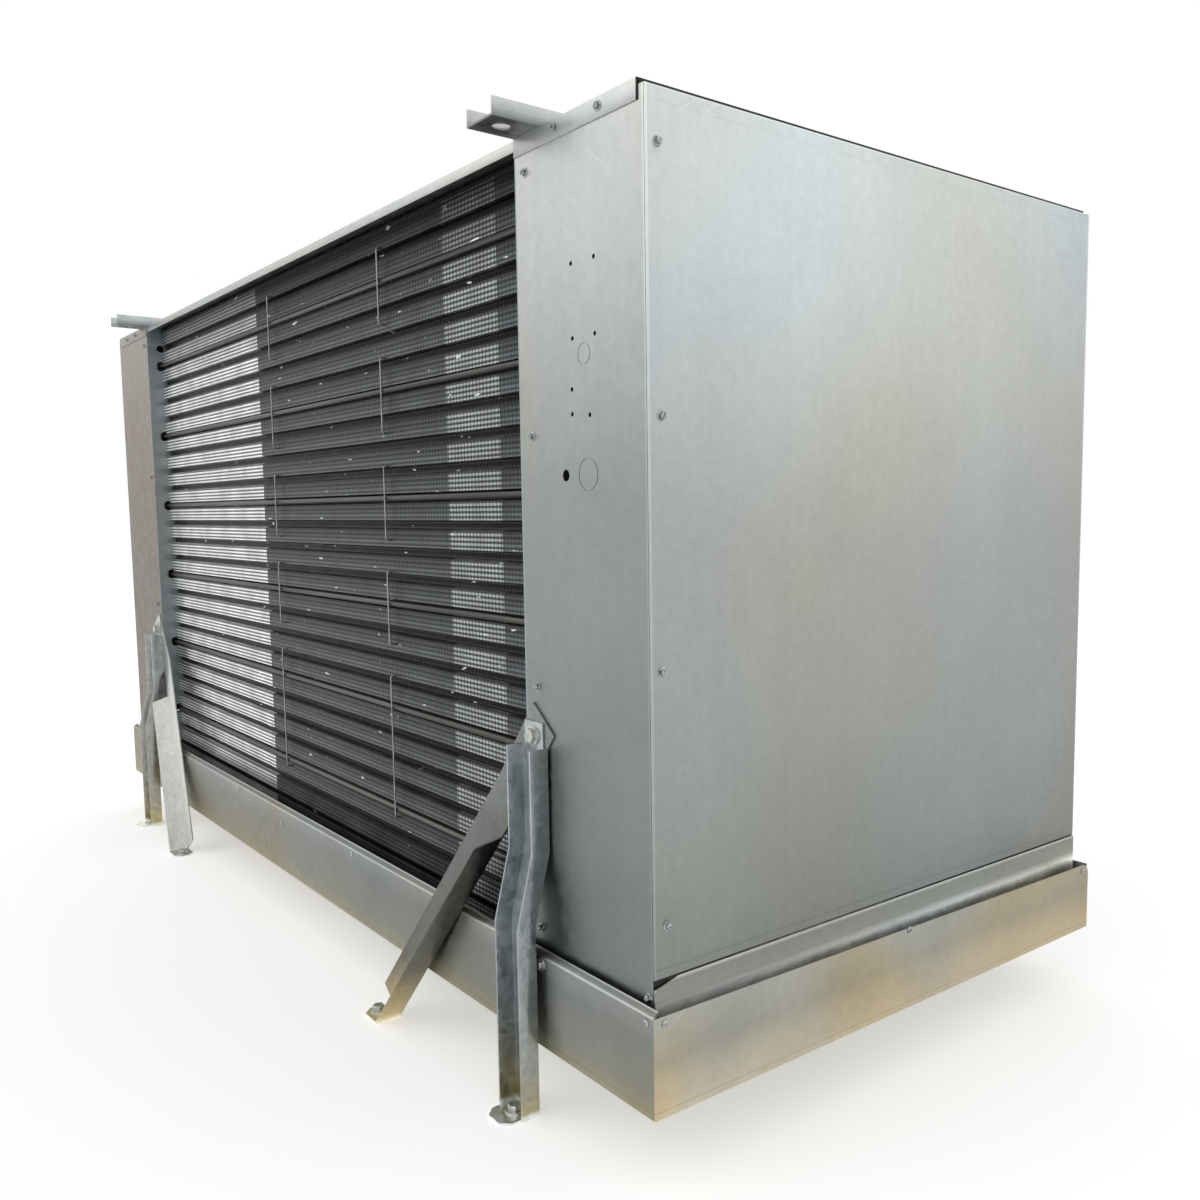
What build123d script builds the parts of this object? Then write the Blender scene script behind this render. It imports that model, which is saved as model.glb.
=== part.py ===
"""Refrigeration evaporator (unit cooler) standing on four braced legs, in millimetres.

The origin is on the floor below the middle of the cabinet and +Z is up. The coil side, with its
electric defrost rods, faces -Y. The two fans blow out of the +Y side.
"""
import os
from math import cos, hypot, radians, sin

from build123d import *

# Cabinet of folded galvanised sheet
length = 2000.0
depth = 786.0
sheet = 1.5
panel_bottom = 218.0
panel_return = 8.0
column_width = 232.0
column_return = 20.0
column_bottom = 150.0
roof_rise = 7.0
cap_inset = 10.0
cap_flange = 21.0
cover_flange = 20.0
coil_lip_height = 12.0
coil_lip_setback = 2.5
strip_thickness = 3.0
strip_gap = 1.5
strip_notch_width = 31.0
strip_notch_height = 8.0

# Coil block with its tube sheets
tube_pitch = 38.1
tube_rows = 24
coil_top_gap = 8.7
coil_drop = 33.1
fin_setback = 29.0
coil_depth = 264.0
skirt_height = 24.0
skirt_depth = 12.0
groove_height = 14.0
groove_floor = 9.0
groove_depth = 9.0
tube_sheet = 2.5
tube_sheet_margin = 12.0
tube_sheet_foot = 8.0
fit_gap = 0.3

# Defrost rods and the wire clips that hold them
rod_radius = 4.0
rod_count = 6
rod_rows = 4
first_rod_row = 2
rod_proud = 2.5
rod_overrun = 15.0
rod_hole_radius = 10.0
probe_hole_radius = 7.0
clip_wire = 2.5
clip_columns = {"left": -80.0, "right": 359.0}
clip_rows_up = 1.25
clip_rows_down = 1.6
last_clip_rows_up = 2.4
last_clip_drop = 14.0

# Holes in the service column: distance from the end of the cabinet, height above the panel's edge
small_holes = ((127.7, 737.5), (86.6, 737.5), (127.0, 660.5), (86.4, 660.8), (129.5, 607.9),
               (129.5, 582.0), (97.3, 579.1))
small_hole_radius = 2.5
cable_hole = (143.3, 517.8)
cable_hole_radius = 6.35
knock_outs = (((106.5, 642.6), 11.5), ((101.7, 517.8), 17.5))
knock_out_score = 1.2
score_depth = 0.6

# Drain pan
pan_bottom = 79.0
pan_height = 108.5
pan_fall = 13.5
pan_end_gap = 17.0
pan_coil_gap = 14.0
pan_fan_gap = 16.0
pan_sheet = 2.0
pan_lip_in = 7.0
pan_lip_up = 6.5
pan_corner = 14.0
drain_radius = 17.0
drain_bore = 13.0
drain_length = 40.0

# Roof hangers
rail_inset = 209.0
rail_width = 54.0
rail_height = 20.0
rail_sheet = 2.5
rail_overhang = 58.0
hang_hole_radius = 10.0
hang_hole_reach = 31.0

# Legs: cranked channel posts with angle braces
leg_sheet = 2.5
post_inset = 212.5
post_width = 51.0
post_flange = 24.0
post_top = 430.0
tongue_top = 458.0
tongue_width = 38.0
crank_top = 310.0
crank_bottom = 226.0
crank_out = 21.0
foot_reach = 70.0
foot_width = 45.0
foot_chamfer = 11.0
foot_hole_radius = 5.5
foot_hole_reach = 42.0
leg_bolt_radius = 5.5
leg_bolt_z = 442.0
brace_inset = 174.0
brace_top_z = 446.0
brace_run = {"right": 355.0, "left": 295.0}
brace_plate = 54.0
brace_flange = 36.0
brace_flat = 118.0
brace_lean = 34.0
brace_notch = 180.0
brace_notch_slant = 12.0
brace_tab = 45.0

# Fan side
fan_opening = 305.0
collar_radius = 24.0
collar_lip = 14.0
fan_blades = 5
blade_tip = 296.0
blade_root_width = 95.0
blade_seat = 8.0
blade_tip_width = 190.0
blade_sheet = 2.5
blade_pitch = 27.0
hub_radius = 55.0
hub_length = 52.0
hub_face = 12.0
shaft_radius = 8.0
motor_radius = 72.0
motor_length = 165.0
mount_reach = 120.0
mount_width = 90.0
mount_half = 332.0
mount_foot = 28.0
guard_wire = 5.0
guard_rim = 336.0
guard_disc = 50.0
guard_ring_count = 8
guard_sides = 20
guard_spokes = 8
guard_stand = 50.0

# Derived levels and faces
front = -depth / 2
half = length / 2
column_inner = half - column_width
coil_height = tube_pitch * tube_rows
coil_bottom = panel_bottom - coil_drop
coil_top = coil_bottom + coil_height
roof = coil_top + coil_top_gap
panel_top = roof - roof_rise
panel_height = panel_top - panel_bottom
fin_face = front + fin_setback
fin_half = column_inner - tube_sheet - fit_gap
rod_y = fin_face - rod_proud
rod_levels = [coil_top - tube_pitch * (first_rod_row + rod_rows * n) for n in range(rod_count)]
pan_rim = pan_bottom + pan_height
pan_half = half + pan_end_gap
pan_front = front - pan_coil_gap
pan_back = -front + pan_fan_gap
rail_x = half - rail_inset
post_x = half - post_inset
brace_top_x = half - brace_inset
fan_x = column_inner / 2
fan_z = (panel_bottom + panel_top) / 2
SIDES = {"right": True, "left": False}


def turn_to(right, coil_side=True):
    """Mirror the sub-part in hand from the right end of the coil side to another corner."""
    if not right:
        mirror(about=Plane.YZ, mode=Mode.REPLACE)
    if not coil_side:
        mirror(about=Plane.XZ, mode=Mode.REPLACE)


def make_column(right, coil_side, serviced=False):
    """Corner column, a folded channel that closes the end compartment."""
    outer = half - sheet
    middle = (column_inner + outer) / 2
    with BuildPart() as column:
        with BuildSketch(Plane.XY.offset(column_bottom)):
            with Locations((middle, front + column_return / 2)):
                Rectangle(outer - column_inner, column_return)
            with Locations((middle, front + sheet + column_return / 2)):
                Rectangle(outer - column_inner - 2 * sheet, column_return, mode=Mode.SUBTRACT)
        extrude(amount=panel_top - column_bottom)
        if serviced:
            face = Plane(origin=(half, front, panel_bottom), x_dir=(1, 0, 0), z_dir=(0, -1, 0))
            with BuildSketch(face):
                with Locations(*[(-x, z) for x, z in small_holes]):
                    Circle(small_hole_radius)
                with Locations((-cable_hole[0], cable_hole[1])):
                    Circle(cable_hole_radius)
            extrude(amount=-sheet, mode=Mode.SUBTRACT)
            with BuildSketch(face):
                for (x, z), radius in knock_outs:
                    with Locations((-x, z)):
                        Circle(radius)
                        Circle(radius - knock_out_score, mode=Mode.SUBTRACT)
            extrude(amount=-score_depth, mode=Mode.SUBTRACT)
        turn_to(right, coil_side)
    return column.part


def make_end_panel(right):
    """Flat end panel with a return folded inwards along its top."""
    with BuildPart() as panel:
        with BuildSketch(Plane.YZ.offset(half - sheet)):
            with Locations((0, (panel_bottom + panel_top) / 2)):
                Rectangle(depth, panel_height)
        extrude(amount=sheet)
        with BuildSketch(Plane.XY.offset(panel_top - sheet)):
            with Locations((half - panel_return / 2, 0)):
                Rectangle(panel_return, depth - 2 * column_return - 2 * sheet)
        extrude(amount=sheet)
        turn_to(right)
    return panel.part


def make_base_strip(right):
    """Skirt below the end panel that goes down into the pan and carries it."""
    foot = pan_bottom + pan_sheet
    top = panel_bottom - strip_gap
    with BuildPart() as strip:
        with BuildSketch(Plane.YZ.offset(half - sheet)):
            with Locations((0, (foot + top) / 2)):
                Rectangle(depth, top - foot)
            with BuildLine():
                Polyline((front, top), (front + strip_notch_width, top), (front, top - strip_notch_height),
                         close=True)
            make_face(mode=Mode.SUBTRACT)
        extrude(amount=strip_thickness)
        turn_to(right)
    return strip.part


def make_top_cover():
    """Roof over the coil and the fans, with a narrow lip on the coil side."""
    lip = front + coil_lip_setback
    back = -front + sheet
    with BuildPart() as cover:
        with BuildSketch(Plane.YZ):
            with BuildLine():
                Polyline((lip, roof), (back, roof), (back, roof - cover_flange),
                         (back - sheet, roof - cover_flange), (back - sheet, roof - sheet),
                         (lip + sheet, roof - sheet), (lip + sheet, roof - coil_lip_height),
                         (lip, roof - coil_lip_height), close=True)
            make_face()
        extrude(amount=fin_half, both=True)
    return cover.part


def make_end_cap(right):
    """Roof of the end compartment, flanged down over both columns and inside the end panel."""
    inner = column_inner - 2.0
    outer = half - cap_inset
    reach = -front + sheet
    with BuildPart() as cap:
        with BuildSketch(Plane.YZ.offset(inner)):
            with Locations((0, roof - cap_flange / 2)):
                Rectangle(2 * reach, cap_flange)
            with Locations((0, roof - sheet - cap_flange / 2)):
                Rectangle(2 * reach - 2 * sheet, cap_flange, mode=Mode.SUBTRACT)
        extrude(amount=outer - inner)
        with BuildSketch(Plane.YZ.offset(outer - sheet)):
            with Locations((0, roof - cap_flange / 2)):
                Rectangle(depth - 2 * sheet - 2 * fit_gap, cap_flange)
        extrude(amount=sheet)
        turn_to(right)
    return cap.part


def make_tube_sheet(right):
    """End plate of the coil, pierced for the defrost rods and one probe."""
    back = fin_face + coil_depth + tube_sheet_margin
    foot = coil_bottom - tube_sheet_foot
    top = roof - sheet - fit_gap
    with BuildPart() as plate:
        with BuildSketch(Plane.YZ.offset(column_inner - tube_sheet)):
            with Locations(((front + back) / 2, (foot + top) / 2)):
                Rectangle(back - front, top - foot)
            with Locations(*[(rod_y, z) for z in rod_levels]):
                Circle(rod_hole_radius, mode=Mode.SUBTRACT)
            with Locations((rod_y, rod_levels[0] + tube_pitch)):
                Circle(probe_hole_radius, mode=Mode.SUBTRACT)
        extrude(amount=tube_sheet)
        turn_to(right)
    return plate.part


def make_fin_pack():
    """Fin block, grooved across both faces between one tube row and the next, with a drip skirt."""
    rows = [coil_top - tube_pitch * n for n in range(1, tube_rows)]
    with BuildPart() as pack:
        with BuildSketch(Plane.YZ):
            with Locations((fin_face + coil_depth / 2, (coil_top + coil_bottom) / 2)):
                Rectangle(coil_depth, coil_height)
            with Locations((fin_face + skirt_depth / 2, coil_bottom - skirt_height / 2)):
                Rectangle(skirt_depth, skirt_height)
            for face, inwards in ((fin_face, 1.0), (fin_face + coil_depth, -1.0)):
                with BuildLine():
                    Polyline((face, rows[0] - groove_height / 2), (face, rows[0] + groove_height / 2),
                             (face + inwards * groove_depth, rows[0] + groove_floor / 2),
                             (face + inwards * groove_depth, rows[0] - groove_floor / 2), close=True)
                groove = make_face(mode=Mode.PRIVATE)
                for level in rows:
                    add(groove.moved(Location((0, level - rows[0]))), mode=Mode.SUBTRACT)
        extrude(amount=fin_half, both=True)
    return pack.part


def make_rod(level):
    """Straight defrost rod that runs from one end compartment to the other."""
    with BuildPart() as rod:
        with BuildSketch(Plane.YZ):
            with Locations((rod_y, level)):
                Circle(rod_radius)
        extrude(amount=column_inner + rod_overrun, both=True)
    return rod.part


def make_clips(x):
    """One column of wire clips, each bent over its rod with both ends turned in to the fins."""
    wire_y = rod_y - rod_radius - clip_wire / 2
    with BuildPart() as clips:
        for n, level in enumerate(rod_levels):
            last = n == rod_count - 1
            top = level + tube_pitch * (last_clip_rows_up if last else clip_rows_up)
            foot = level - (last_clip_drop if last else tube_pitch * clip_rows_down)
            with BuildSketch(Plane.YZ.offset(x - clip_wire / 2)):
                with BuildLine():
                    Polyline((fin_face, top), (wire_y - clip_wire / 2, top), (wire_y - clip_wire / 2, foot),
                             (fin_face, foot), (fin_face, foot + clip_wire),
                             (wire_y + clip_wire / 2, foot + clip_wire),
                             (wire_y + clip_wire / 2, top - clip_wire), (fin_face, top - clip_wire), close=True)
                make_face()
            extrude(amount=clip_wire)
    return clips.part


def make_drain_pan():
    """Folded trough of the pan: floor, two walls and a sloping lip along the coil side."""
    back_rim = pan_rim - pan_fall
    with BuildPart() as pan:
        with BuildSketch(Plane.YZ):
            with BuildLine():
                Polyline((pan_front, pan_bottom), (pan_back, pan_bottom), (pan_back, back_rim),
                         (pan_back - pan_sheet, back_rim), (pan_back - pan_sheet, pan_bottom + pan_sheet),
                         (pan_front + pan_sheet, pan_bottom + pan_sheet),
                         (pan_front + pan_sheet, pan_rim - pan_sheet),
                         (pan_front + pan_lip_in, pan_rim + pan_lip_up - pan_sheet),
                         (pan_front + pan_lip_in, pan_rim + pan_lip_up), (pan_front, pan_rim), close=True)
            make_face()
        extrude(amount=pan_half - pan_sheet, both=True)
        with BuildSketch(Plane.XY.offset(pan_bottom)):
            Circle(drain_bore)
        extrude(amount=pan_sheet, mode=Mode.SUBTRACT)
    return pan.part


def make_pan_end(right):
    """End wall of the pan, its rim falling towards the fan side and rounded at that corner."""
    with BuildPart() as end:
        with BuildSketch(Plane.YZ.offset(pan_half - pan_sheet)):
            with BuildLine():
                Polyline((pan_front, pan_bottom), (pan_back, pan_bottom), (pan_back, pan_rim - pan_fall),
                         (pan_front, pan_rim), close=True)
            make_face()
        extrude(amount=pan_sheet)
        corner = end.edges().filter_by(Axis.X).sort_by(Axis.Z)[-2:].sort_by(Axis.Y)[-1]
        fillet(corner, radius=pan_corner)
        turn_to(right)
    return end.part


def make_drain_outlet():
    """Pipe stub below the lowest point of the pan."""
    with BuildPart() as outlet:
        with BuildSketch(Plane.XY.offset(pan_bottom)):
            Circle(drain_radius)
            Circle(drain_bore, mode=Mode.SUBTRACT)
        extrude(amount=-drain_length)
    return outlet.part


def make_hanger_rail(right):
    """Channel across the roof whose ends stick out with a hole for a hanging rod."""
    with BuildPart() as rail:
        with BuildSketch(Plane.XZ):
            with Locations((rail_x, roof + rail_height / 2)):
                Rectangle(rail_width, rail_height)
            with Locations((rail_x, roof + rail_sheet + rail_height / 2)):
                Rectangle(rail_width - 2 * rail_sheet, rail_height, mode=Mode.SUBTRACT)
        extrude(amount=-front + rail_overhang, both=True)
        with BuildSketch(Plane.XY.offset(roof)):
            with Locations((rail_x, front - hang_hole_reach), (rail_x, -front + hang_hole_reach)):
                Circle(hang_hole_radius)
        extrude(amount=rail_sheet, mode=Mode.SUBTRACT)
        turn_to(right)
    return rail.part


def foot_tab(plane, reach, width, hole_at):
    """Outline of a bent foot with clipped corners and one floor bolt hole."""
    with BuildSketch(plane) as tab:
        with BuildLine():
            Polyline((0, -width / 2), (reach - foot_chamfer, -width / 2), (reach, foot_chamfer - width / 2),
                     (reach, width / 2 - foot_chamfer), (reach - foot_chamfer, width / 2), (0, width / 2),
                     close=True)
        make_face()
        with Locations((hole_at, 0)):
            Circle(foot_hole_radius, mode=Mode.SUBTRACT)
    return tab.sketch


def make_post(right, coil_side):
    """Channel post, cranked outwards so that its lower half clears the pan."""
    seat = front - leg_sheet
    low = seat - crank_out
    web = [(seat, tongue_top), (seat, crank_top), (low, crank_bottom), (low, 0)]
    skin = [(y - leg_sheet, z) for y, z in reversed(web)]
    wing = [(seat, post_top), (seat, crank_top), (low, crank_bottom), (low, 0)]
    edge = [(y - post_flange, z) for y, z in reversed(wing)]
    left = post_x - post_width / 2
    with BuildPart() as post:
        with BuildSketch(Plane.YZ.offset(left)):
            with BuildLine():
                Polyline(*web, *skin, close=True)
            make_face()
        extrude(amount=post_width)
        for start in (left, left + post_width - leg_sheet):
            with BuildSketch(Plane.YZ.offset(start)):
                with BuildLine():
                    Polyline(*wing, *edge, close=True)
                make_face()
            extrude(amount=leg_sheet)
        with BuildSketch(Plane.XZ.offset(-seat)):
            with Locations((post_x - post_width / 2, tongue_top), (post_x + post_width / 2, tongue_top)):
                Rectangle(post_width - tongue_width, 2 * (tongue_top - post_top))
            with Locations((post_x, leg_bolt_z)):
                Circle(leg_bolt_radius)
        extrude(amount=leg_sheet, mode=Mode.SUBTRACT)
        toe = Plane(origin=(post_x, low, 0), x_dir=(0, -1, 0), z_dir=(0, 0, 1))
        tab = foot_tab(toe, low - front + foot_reach, foot_width, low - front + foot_hole_reach)
        extrude(tab, amount=leg_sheet)
        turn_to(right, coil_side)
    return post.part


def make_brace(right, coil_side, run):
    """Angle brace: a plate bolted flat behind the post that then leans out past the pan, with a flange."""
    foot_x = brace_top_x - run
    span = hypot(run, brace_top_z)
    along = Vector(-run / span, 0, -brace_top_z / span)
    across = Vector(brace_top_z / span, 0, -run / span)
    notch_out = brace_lean * (brace_notch - brace_flat) / (span - brace_flat)
    side = Plane(origin=(brace_top_x, front, brace_top_z), x_dir=along, z_dir=across)
    out = 1.0 if side.y_dir.Y < 0 else -1.0
    inner = [(0, 0), (brace_flat, 0), (span, brace_lean)]
    skin = [(s, o + leg_sheet) for s, o in reversed(inner)]
    with BuildPart() as brace:
        with BuildSketch(side):
            with BuildLine():
                Polyline(*[(s, out * o) for s, o in inner + skin], close=True)
            make_face()
        extrude(amount=-brace_plate)
        with BuildSketch(side):
            with BuildLine():
                Polyline((brace_notch, out * notch_out), (span, out * brace_lean),
                         (span, out * (brace_lean + brace_flange)),
                         (brace_notch + brace_notch_slant, out * (notch_out + brace_flange)), close=True)
            make_face()
        extrude(amount=-leg_sheet)
        toe = Plane(origin=(foot_x, front - brace_lean - brace_flange / 2, 0), x_dir=(-1, 0, 0), z_dir=(0, 0, 1))
        extrude(foot_tab(toe, brace_tab, brace_flange, 0.7 * brace_tab), amount=leg_sheet)
        turn_to(right, coil_side)
    return brace.part


def make_fan_panel():
    """Fan-side panel with two drawn collars round the fan openings."""
    face = -front
    mouth = fan_opening + collar_radius
    with BuildPart() as panel:
        with BuildSketch(Plane.XZ.offset(-face)):
            with Locations((0, (column_bottom + roof - sheet) / 2)):
                Rectangle(2 * column_inner, roof - sheet - column_bottom - fit_gap)
            with Locations((-fan_x, fan_z), (fan_x, fan_z)):
                Circle(mouth, mode=Mode.SUBTRACT)
        extrude(amount=sheet)
        for x in (-fan_x, fan_x):
            rise = face + collar_radius - sheet
            bend = [(mouth - r * sin(radians(45)), rise - r * cos(radians(45)))
                    for r in (collar_radius, collar_radius - sheet)]
            with BuildSketch(Plane(origin=(x, 0, fan_z), x_dir=(1, 0, 0), z_dir=(0, 0, 1))):
                with BuildLine():
                    Polyline((mouth, face), (mouth, face - sheet), bend[0], (fan_opening, rise),
                             (fan_opening, rise + collar_lip), (fan_opening + sheet, rise + collar_lip),
                             (fan_opening + sheet, rise), bend[1], close=True)
                make_face()
            revolve(axis=Axis((x, 0, fan_z), (0, 1, 0)))
    return panel.part


def make_fan(x):
    """Axial fan: pitched sheet blades on a round hub."""
    back = -front + hub_face - hub_length
    centre = back + hub_length / 2
    with BuildPart() as fan:
        with BuildSketch(Plane(origin=(x, back, fan_z), x_dir=(1, 0, 0), z_dir=(0, 1, 0))):
            Circle(hub_radius)
        extrude(amount=hub_length)
        for n in range(fan_blades):
            turn = radians(90 + 360 / fan_blades * n)
            reach = Vector(cos(turn), 0, sin(turn))
            tangent = Vector(-sin(turn), 0, cos(turn))
            normal = Vector(0, 1, 0) * cos(radians(blade_pitch)) + tangent * sin(radians(blade_pitch))
            middle = Vector(x, centre, fan_z) - normal * (blade_sheet / 2)
            with BuildSketch(Plane(origin=middle, x_dir=reach, z_dir=normal)):
                with BuildLine():
                    Polyline((hub_radius - blade_seat, -blade_root_width / 2),
                             (blade_tip, -blade_tip_width / 2), (blade_tip + blade_seat, 0),
                             (blade_tip, blade_tip_width / 2),
                             (hub_radius - blade_seat, blade_root_width / 2), close=True)
                make_face()
            extrude(amount=blade_sheet)
        with BuildSketch(Plane(origin=(x, centre, fan_z), x_dir=(1, 0, 0), z_dir=(0, 1, 0))):
            Circle(blade_tip)
        extrude(amount=blade_tip_width, both=True, mode=Mode.INTERSECT)
    return fan.part


def make_motor(x):
    """Fan motor, a plain can with its shaft towards the fan."""
    hub_back = -front + hub_face - hub_length
    mount = -front - mount_reach
    with BuildPart() as motor:
        with BuildSketch(Plane(origin=(x, mount, fan_z), x_dir=(1, 0, 0), z_dir=(0, 1, 0))):
            Circle(motor_radius)
        extrude(amount=-motor_length)
        chamfer(motor.edges().sort_by(Axis.Y)[0], length=motor_radius / 6)
        with BuildSketch(Plane(origin=(x, mount, fan_z), x_dir=(1, 0, 0), z_dir=(0, 1, 0))):
            Circle(shaft_radius)
        extrude(amount=hub_back - mount)
    return motor.part


def make_motor_mount(x):
    """Upright strap behind the fan, footed on the inside of the fan panel."""
    face = -front - sheet
    back = -front - mount_reach
    with BuildPart() as mount:
        with BuildSketch(Plane(origin=(x - mount_width / 2, 0, fan_z), x_dir=(0, 1, 0), z_dir=(1, 0, 0))):
            with Locations(((face + back) / 2, 0)):
                Rectangle(face - back, 2 * mount_half)
            with Locations(((face + back) / 2 + leg_sheet, 0)):
                Rectangle(face - back, 2 * mount_half - 2 * leg_sheet, mode=Mode.SUBTRACT)
            with Locations((face - leg_sheet / 2, 0)):
                Rectangle(leg_sheet, 2 * (mount_half + mount_foot))
                Rectangle(leg_sheet, 2 * mount_half - 2 * leg_sheet, mode=Mode.SUBTRACT)
        extrude(amount=mount_width)
        with BuildSketch(Plane(origin=(x, back, fan_z), x_dir=(1, 0, 0), z_dir=(0, 1, 0))):
            Circle(shaft_radius + fit_gap)
        extrude(amount=leg_sheet, mode=Mode.SUBTRACT)
    return mount.part


def make_guard(x):
    """Wire fan guard: rings and a middle disc fused to spokes that stand on the fan panel."""
    face = -front
    disc = Plane(origin=(x, face + guard_stand - guard_wire, fan_z), x_dir=(1, 0, 0), z_dir=(0, 1, 0))
    step = (guard_rim - guard_disc) / (guard_ring_count - 1)
    with BuildPart() as guard:
        with BuildSketch(disc):
            for n in range(guard_ring_count - 1, 0, -1):
                RegularPolygon(guard_disc + step * n + guard_wire / 2, guard_sides)
                RegularPolygon(guard_disc + step * n - guard_wire / 2, guard_sides, mode=Mode.SUBTRACT)
            RegularPolygon(guard_disc, guard_sides)
            with PolarLocations(guard_rim / 2, guard_spokes):
                Rectangle(guard_rim, guard_wire)
        extrude(amount=guard_wire)
        with BuildSketch(Plane(origin=(x, face, fan_z), x_dir=(1, 0, 0), z_dir=(0, 1, 0))):
            with PolarLocations(guard_rim, guard_spokes):
                Rectangle(guard_wire, guard_wire)
        extrude(amount=guard_stand - guard_wire)
    return guard.part


def build():
    """Make every sub-part and collect it under its name."""
    parts = {"top_cover": make_top_cover(), "fin_pack": make_fin_pack(), "drain_pan": make_drain_pan(),
             "drain_outlet": make_drain_outlet(), "fan_panel": make_fan_panel()}
    for n, level in enumerate(rod_levels):
        parts[f"defrost_rod_{n + 1}"] = make_rod(level)
    for side, right in SIDES.items():
        parts[f"end_panel_{side}"] = make_end_panel(right)
        parts[f"pan_end_{side}"] = make_pan_end(right)
        parts[f"base_strip_{side}"] = make_base_strip(right)
        parts[f"end_cap_{side}"] = make_end_cap(right)
        parts[f"tube_sheet_{side}"] = make_tube_sheet(right)
        parts[f"hanger_rail_{side}"] = make_hanger_rail(right)
        parts[f"rod_clips_{side}"] = make_clips(clip_columns[side])
        parts[f"coil_column_{side}"] = make_column(right, True, serviced=right)
        parts[f"fan_column_{side}"] = make_column(right, False)
        for face, coil_side in (("coil", True), ("fan", False)):
            parts[f"{face}_post_{side}"] = make_post(right, coil_side)
            parts[f"{face}_brace_{side}"] = make_brace(right, coil_side, brace_run[side])
        x = fan_x if right else -fan_x
        parts[f"fan_{side}"] = make_fan(x)
        parts[f"fan_motor_{side}"] = make_motor(x)
        parts[f"motor_mount_{side}"] = make_motor_mount(x)
        parts[f"fan_guard_{side}"] = make_guard(x)
    return parts


os.makedirs("parts", exist_ok=True)
for name, part in build().items():
    part.label = name
    export_step(part, f"parts/{name}.step")
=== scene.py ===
"""Looks of a refrigeration evaporator that stands on four braced legs.

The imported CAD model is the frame: metres, +Z up, the coil side facing -Y and the fans facing +Y.
Sizes and places in the classes are millimetres, apart from the studio's, which are metres.
"""
import logging
import math
from collections.abc import Callable, Iterable
from dataclasses import dataclass, field
from enum import Enum

import bpy
from mathutils import Matrix, Vector


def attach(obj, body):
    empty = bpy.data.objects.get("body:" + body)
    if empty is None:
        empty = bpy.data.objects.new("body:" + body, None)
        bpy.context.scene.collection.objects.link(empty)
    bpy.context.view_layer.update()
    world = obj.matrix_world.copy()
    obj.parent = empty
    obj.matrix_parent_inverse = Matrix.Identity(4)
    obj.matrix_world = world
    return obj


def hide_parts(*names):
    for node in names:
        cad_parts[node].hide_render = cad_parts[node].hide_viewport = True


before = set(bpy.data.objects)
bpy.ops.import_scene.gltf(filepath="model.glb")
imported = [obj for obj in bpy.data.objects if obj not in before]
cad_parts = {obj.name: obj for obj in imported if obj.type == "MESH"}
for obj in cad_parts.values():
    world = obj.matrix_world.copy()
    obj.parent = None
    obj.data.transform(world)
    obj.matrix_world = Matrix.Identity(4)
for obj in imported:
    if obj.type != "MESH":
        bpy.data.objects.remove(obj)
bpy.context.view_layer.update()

LOG = logging.getLogger("evaporator")
BODY = "root"
MM = 0.001
TOUCH = 1e-6  # metres within which two points are one
MERGE = 1e-5  # metres within which the corners of a CAD mesh are merged
FLAT = 1.0  # degrees within which two faces are one
FOLD = 30.0  # degrees from which an edge counts as a fold
ROUND = 50.0  # degrees up to which the flats of a wire shade as round
ALONG = 0.9  # share of a normal from which a face looks along an axis
MARGIN = 1.0  # millimetres of slack where corners are chosen by their place
NOISE_LOW, NOISE_HIGH = 0.3, 0.7  # most of a noise texture lies between these

Inputs = dict[str | int, object]
Stops = tuple[tuple[float, str], ...]


class End(Enum):
    """The two ends of the cabinet, with the sign of their X."""

    RIGHT = 1
    LEFT = -1

    @property
    def word(self) -> str:
        """Name of the end as the CAD nodes spell it."""
        return self.name.lower()


class Flank(Enum):
    """The two long sides of the cabinet, with the sign of their Y."""

    COIL = -1
    FAN = 1

    @property
    def word(self) -> str:
        """Name of the side as the CAD nodes spell it."""
        return self.name.lower()


# ---------------------------------------------------------------- small tools


def linear(code: str) -> tuple[float, float, float, float]:
    """Turn an sRGB hex code into a linear colour.

    Args:
        code: Six hex digits.

    Returns:
        Linear red, green, blue and an alpha of 1.
    """
    parts = [int(code[n:n + 2], 16) / 255 for n in (0, 2, 4)]
    red, green, blue = (c / 12.92 if c <= 0.04045 else ((c + 0.055) / 1.055) ** 2.4 for c in parts)
    return red, green, blue, 1.0


def per_mm(size: float) -> float:
    """Texture scale that gives a pattern a feature of this size in millimetres."""
    return 1000.0 / size


def add_node(tree: bpy.types.NodeTree, kind: str, inputs: Inputs | None = None,
             stops: Stops = (), **settings: object) -> bpy.types.Node:
    """Add a shader node with its settings and links.

    Args:
        tree: Node tree that takes the node.
        kind: Blender's class name of the node.
        inputs: Input name or number, with a value or the socket that feeds it.
        stops: Places and hex colours of a colour ramp.
        **settings: Properties of the node.

    Returns:
        The new node.
    """
    node = tree.nodes.new(kind)
    for name, value in settings.items():
        setattr(node, name, value)
    for place, _ in stops[2:]:
        node.color_ramp.elements.new(place)
    for element, (place, code) in zip(node.color_ramp.elements if stops else (), stops):
        element.position = place
        element.color = linear(code)
    for key, value in (inputs or {}).items():
        if isinstance(value, bpy.types.NodeSocket):
            tree.links.new(value, node.inputs[key])
        else:
            node.inputs[key].default_value = value
    return node


def select_only(*objects: bpy.types.Object) -> None:
    """Deselect everything, then select these objects and make the first one active.

    Args:
        *objects: Objects to select.
    """
    bpy.ops.object.select_all(action="DESELECT")
    for obj in objects:
        obj.select_set(True)
    bpy.context.view_layer.objects.active = objects[0]


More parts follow.
